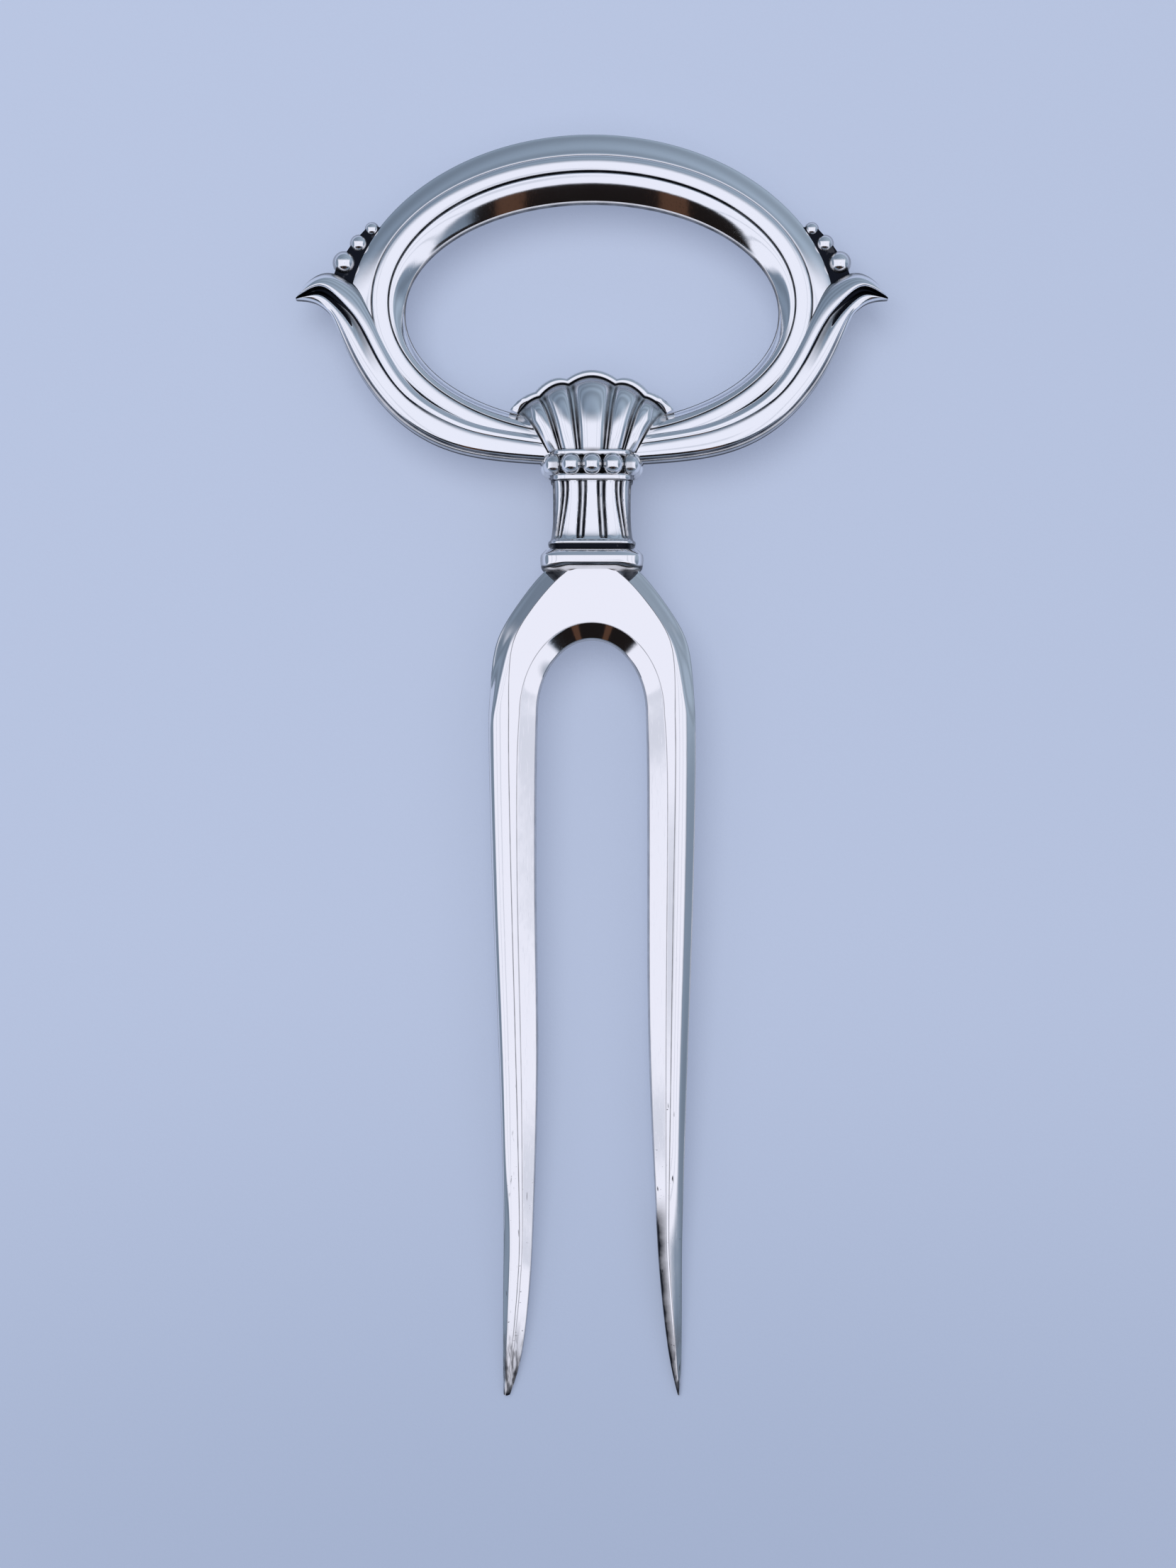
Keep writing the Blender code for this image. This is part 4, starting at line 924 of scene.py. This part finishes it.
def add_pieces():
    """Every piece of the fork in its finish, attached to the root, with the CAD nodes it stands for hidden."""
    placed = []
    for side, word in ((1, "front"), (-1, "back")):
        skins = [ring_skin(side), fan_skin(side)]
        for hand in (1, -1):
            skins += [leaf_skin(hand, side), web_skin(hand, side)]
        half = build(f"handle_{word}", skins, handle_silver)
        placed.append((half, [f"handle_{word}_shell"], "handle_silver"))

    (verts, faces, tarnish), reeds = stem_blank_skin()
    blank = mesh_in_mm("stem_blank", verts, [], faces, tarnish=tarnish, reed=reeds)
    stem = grown("handle_stem", blank, reed_tree(), {"Finish": handle_silver})
    placed.append((stem, ["handle_front_shell", "handle_back_shell"], "handle_silver"))

    placed.append((build("fork_blade", fork_skins(), fork_silver, FORK_SHARP_ANGLE), ["fork"], "fork_silver"))
    placed.append((build("neck_collar", [collar_skin()], fork_silver), ["collar"], "fork_silver"))

    tree = bead_tree()
    spots, _ = rounded_box(*BAND_HALF, BAND_SQUARENESS, BAND_BEADS)
    points = [(x, BAND_Y, z) for x, z in spots]
    edges = [(i, (i + 1) % BAND_BEADS) for i in range(BAND_BEADS)]
    slope = np.roll(spots, -1, 0) - np.roll(spots, 1, 0)
    slope /= np.linalg.norm(slope, axis=1)[:, None]
    ways = np.stack((-slope[:, 1], 0 * slope[:, 0], slope[:, 0]), 1)
    radii = np.full(BAND_BEADS, BAND_BEAD_RADIUS * MM)
    path = mesh_in_mm("band_path", points, edges, [], bead_radius=radii, seat_way=ways)
    band = grown("stem_beads", path, tree, {
        "Wire radius": BAND_WIRE_RADIUS * MM, "Seat line": 0.13, "Seat dark": 0.8, "Rim shade": 0.2,
        "Finish": bead_silver})
    placed.append((band, ["bead_band"], "bead_silver"))

    points = [(hand * x, y, 0) for hand in (1, -1) for x, y, _ in SHOULDER_BEADS]
    radii = np.array([r * MM for _ in range(2) for *_, r in SHOULDER_BEADS])
    ways = np.tile((0.0, 0.0, 1.0), (len(points), 1))
    seats = mesh_in_mm("shoulder_points", points, [], [], bead_radius=radii, seat_way=ways)
    graded = grown("shoulder_beads", seats, tree, {"Finish": bead_silver})
    names = [f"{word}_bead_{size}" for word in ("left", "right") for size in ("large", "medium", "small")]
    placed.append((graded, names, "bead_silver"))

    for piece, nodes, slot in placed:
        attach(piece, "root")
        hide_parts(*nodes)
    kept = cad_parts["tang_cement"]
    kept.data.materials.clear()
    kept.data.materials.append(cement_finish())


def add_floor():
    """A pale card with a soft pool of shade past the tips."""
    mesh = bpy.data.meshes.new("pale_floor")
    mesh.from_pydata([(x * FLOOR_HALF, y * FLOOR_HALF, 0) for x, y in SQUARE], [], [(0, 1, 2, 3)])
    floor = shown("pale_floor", mesh)
    finish, tree, shader = new_finish("pale_card")
    place = node(tree, "ShaderNodeTexCoord").outputs["Object"]
    across, along, _ = node(tree, "ShaderNodeSeparateXYZ", ((0, place),)).outputs
    pool = node(tree, "ShaderNodeCombineXYZ", (
        (0, times(tree, across, POOL_ACROSS)), (1, calc(tree, "SUBTRACT", along, POOL_Y)))).outputs[0]
    shade = fade(tree, length(tree, pool), 0.0, POOL_REACH)
    grain = noise(tree, place, 1500.0, 3.0)
    bump = node(tree, "ShaderNodeBump", (("Height", grain), ("Distance", 0.03 * MM)))
    feed(tree, shader, (
        ("Base Color", blend(tree, shade, *FLOOR_LIT)), ("Roughness", 0.7), ("Specular IOR Level", 0.2),
        ("Normal", bump.outputs[0])))
    glow = node(tree, "ShaderNodeEmission", (("Color", blend(tree, shade, *FLOOR_SEEN)), ("Strength", 1.0)))
    rays = node(tree, "ShaderNodeLightPath").outputs
    seen = calc(tree, "MAXIMUM", rays["Is Camera Ray"], calc(
        tree, "MAXIMUM", rays["Is Glossy Ray"], rays["Is Transmission Ray"]))
    own = slide(tree, length(tree, place), *FLOOR_SEEN_SHARE)
    mix = node(tree, "ShaderNodeMixShader", (
        (0, times(tree, seen, own)), (1, shader.outputs[0]), (2, glow.outputs[0])))
    tree.links.new(mix.outputs[0], tree.nodes["Material Output"].inputs["Surface"])
    mesh.materials.append(finish)


def dimmed(tree, light, mask, share):
    """Light less a share of it where the mask is full."""
    return times(tree, light, calc(tree, "SUBTRACT", 1.0, times(tree, mask, share)))


def studio_panel(tree, x, y):
    """How much of the bright panel overhead lies in a direction, with its bars and its dim spot."""
    along = times(tree, *(fade(tree, y, *edge) for edge in PANEL_Y))
    panel = times(tree, along, times(tree, *(fade(tree, x, *edge) for edge in PANEL_X)))
    for bar in PANEL_BARS:
        near = fade(tree, apart(tree, calc(tree, "ABSOLUTE", x), bar), *PANEL_BAR_EDGE)
        panel = dimmed(tree, panel, near, PANEL_BAR_DIM)
    squares = []
    for way, (centre, size) in zip((x, y), PANEL_SPOT):
        off = calc(tree, "DIVIDE", calc(tree, "SUBTRACT", way, centre), size)
        squares.append(times(tree, off, off))
    spot = fade(tree, calc(tree, "ADD", *squares), *PANEL_SPOT_EDGE)
    return dimmed(tree, panel, spot, PANEL_SPOT_DIM)


def studio_wall(tree, x, y, z):
    """The grey wall round about, in soft bands."""
    right = times(tree, fade(tree, x, *WALL_X), fade(tree, y, *WALL_Y))
    height, step, share = WALL_BANDS
    band = calc(tree, "COSINE", times(tree, calc(tree, "SUBTRACT", z, height), 2 * math.pi / step))
    level = calc(tree, "ADD", 1.0, times(tree, band, share))
    return node(tree, "ShaderNodeVectorMath", (
        (0, blend(tree, right, *WALL_TONES)), ("Scale", level)), operation="SCALE").outputs[0]


def dark_end(tree, x, y, z):
    """How much of the room's unlit end past the tips lies in a direction, and its colour with two posts."""
    past = calc(tree, "MAXIMUM", times(tree, y, -1.0), 0.01)
    lean = calc(tree, "DIVIDE", calc(tree, "ABSOLUTE", x), past)
    left, least = DARK_LEFT
    reach = calc(tree, "MAXIMUM", slide(tree, z, *DARK_REACH), times(tree, fade(tree, x, *left), least))
    across = fade(tree, calc(tree, "SUBTRACT", lean, reach), DARK_EDGE, -DARK_EDGE)
    unlit = times(tree, times(tree, fade(tree, y, *DARK_Y), across), fade(tree, z, *DARK_FOOT))
    post = fade(tree, apart(tree, lean, POST_AT), *POST_EDGE)
    return unlit, blend(tree, post, DARK_TONE, POST_TONE)


def add_light():
    """A bright panel overhead, grey round about it, and dark past the tips."""
    world = bpy.data.worlds.new("studio")
    bpy.context.scene.world = world
    world.use_nodes = True
    tree = world.node_tree
    tree.nodes.clear()
    way = node(tree, "ShaderNodeTexCoord").outputs["Generated"]
    x, y, z = node(tree, "ShaderNodeSeparateXYZ", ((0, way),)).outputs
    room = blend(tree, studio_panel(tree, x, y), studio_wall(tree, x, y, z), PANEL_TONE)
    unlit, dark = dark_end(tree, x, y, z)
    lit = node(tree, "ShaderNodeBackground", (("Color", blend(tree, unlit, room, dark)), ("Strength", 1.0)))
    plain = node(tree, "ShaderNodeBackground", (("Color", FLOOR_SEEN[1]), ("Strength", 1.0)))
    rays = node(tree, "ShaderNodeLightPath").outputs
    low = times(tree, rays["Is Glossy Ray"], fade(tree, z, *HORIZON))
    seen = calc(tree, "MAXIMUM", rays["Is Camera Ray"], low)
    mix = node(tree, "ShaderNodeMixShader", ((0, seen), (1, lit.outputs[0]), (2, plain.outputs[0])))
    end = node(tree, "ShaderNodeOutputWorld")
    tree.links.new(mix.outputs[0], end.inputs["Surface"])
    lamp = bpy.data.lights.new("soft_lamp", "AREA")
    lamp.shape = "DISK"
    lamp.size = LAMP_SIZE
    lamp.energy = LAMP_ENERGY
    overhead = shown("soft_lamp", lamp)
    overhead.matrix_world = Matrix.Translation(LAMP_AT) @ LAMP_AT.to_track_quat("Z", "Y").to_matrix().to_4x4()
    overhead.visible_glossy = False


def add_camera():
    data = bpy.data.cameras.new("camera")
    data.lens = CAMERA_LENS
    data.sensor_width = CAMERA_SENSOR
    camera = shown("camera", data)
    camera.location = CAMERA_AT * MM + Vector((0, 0, MID_HEIGHT))
    bpy.context.scene.camera = camera


add_pieces()
add_floor()
add_light()
add_camera()
bpy.context.scene.view_settings.view_transform = "Standard"
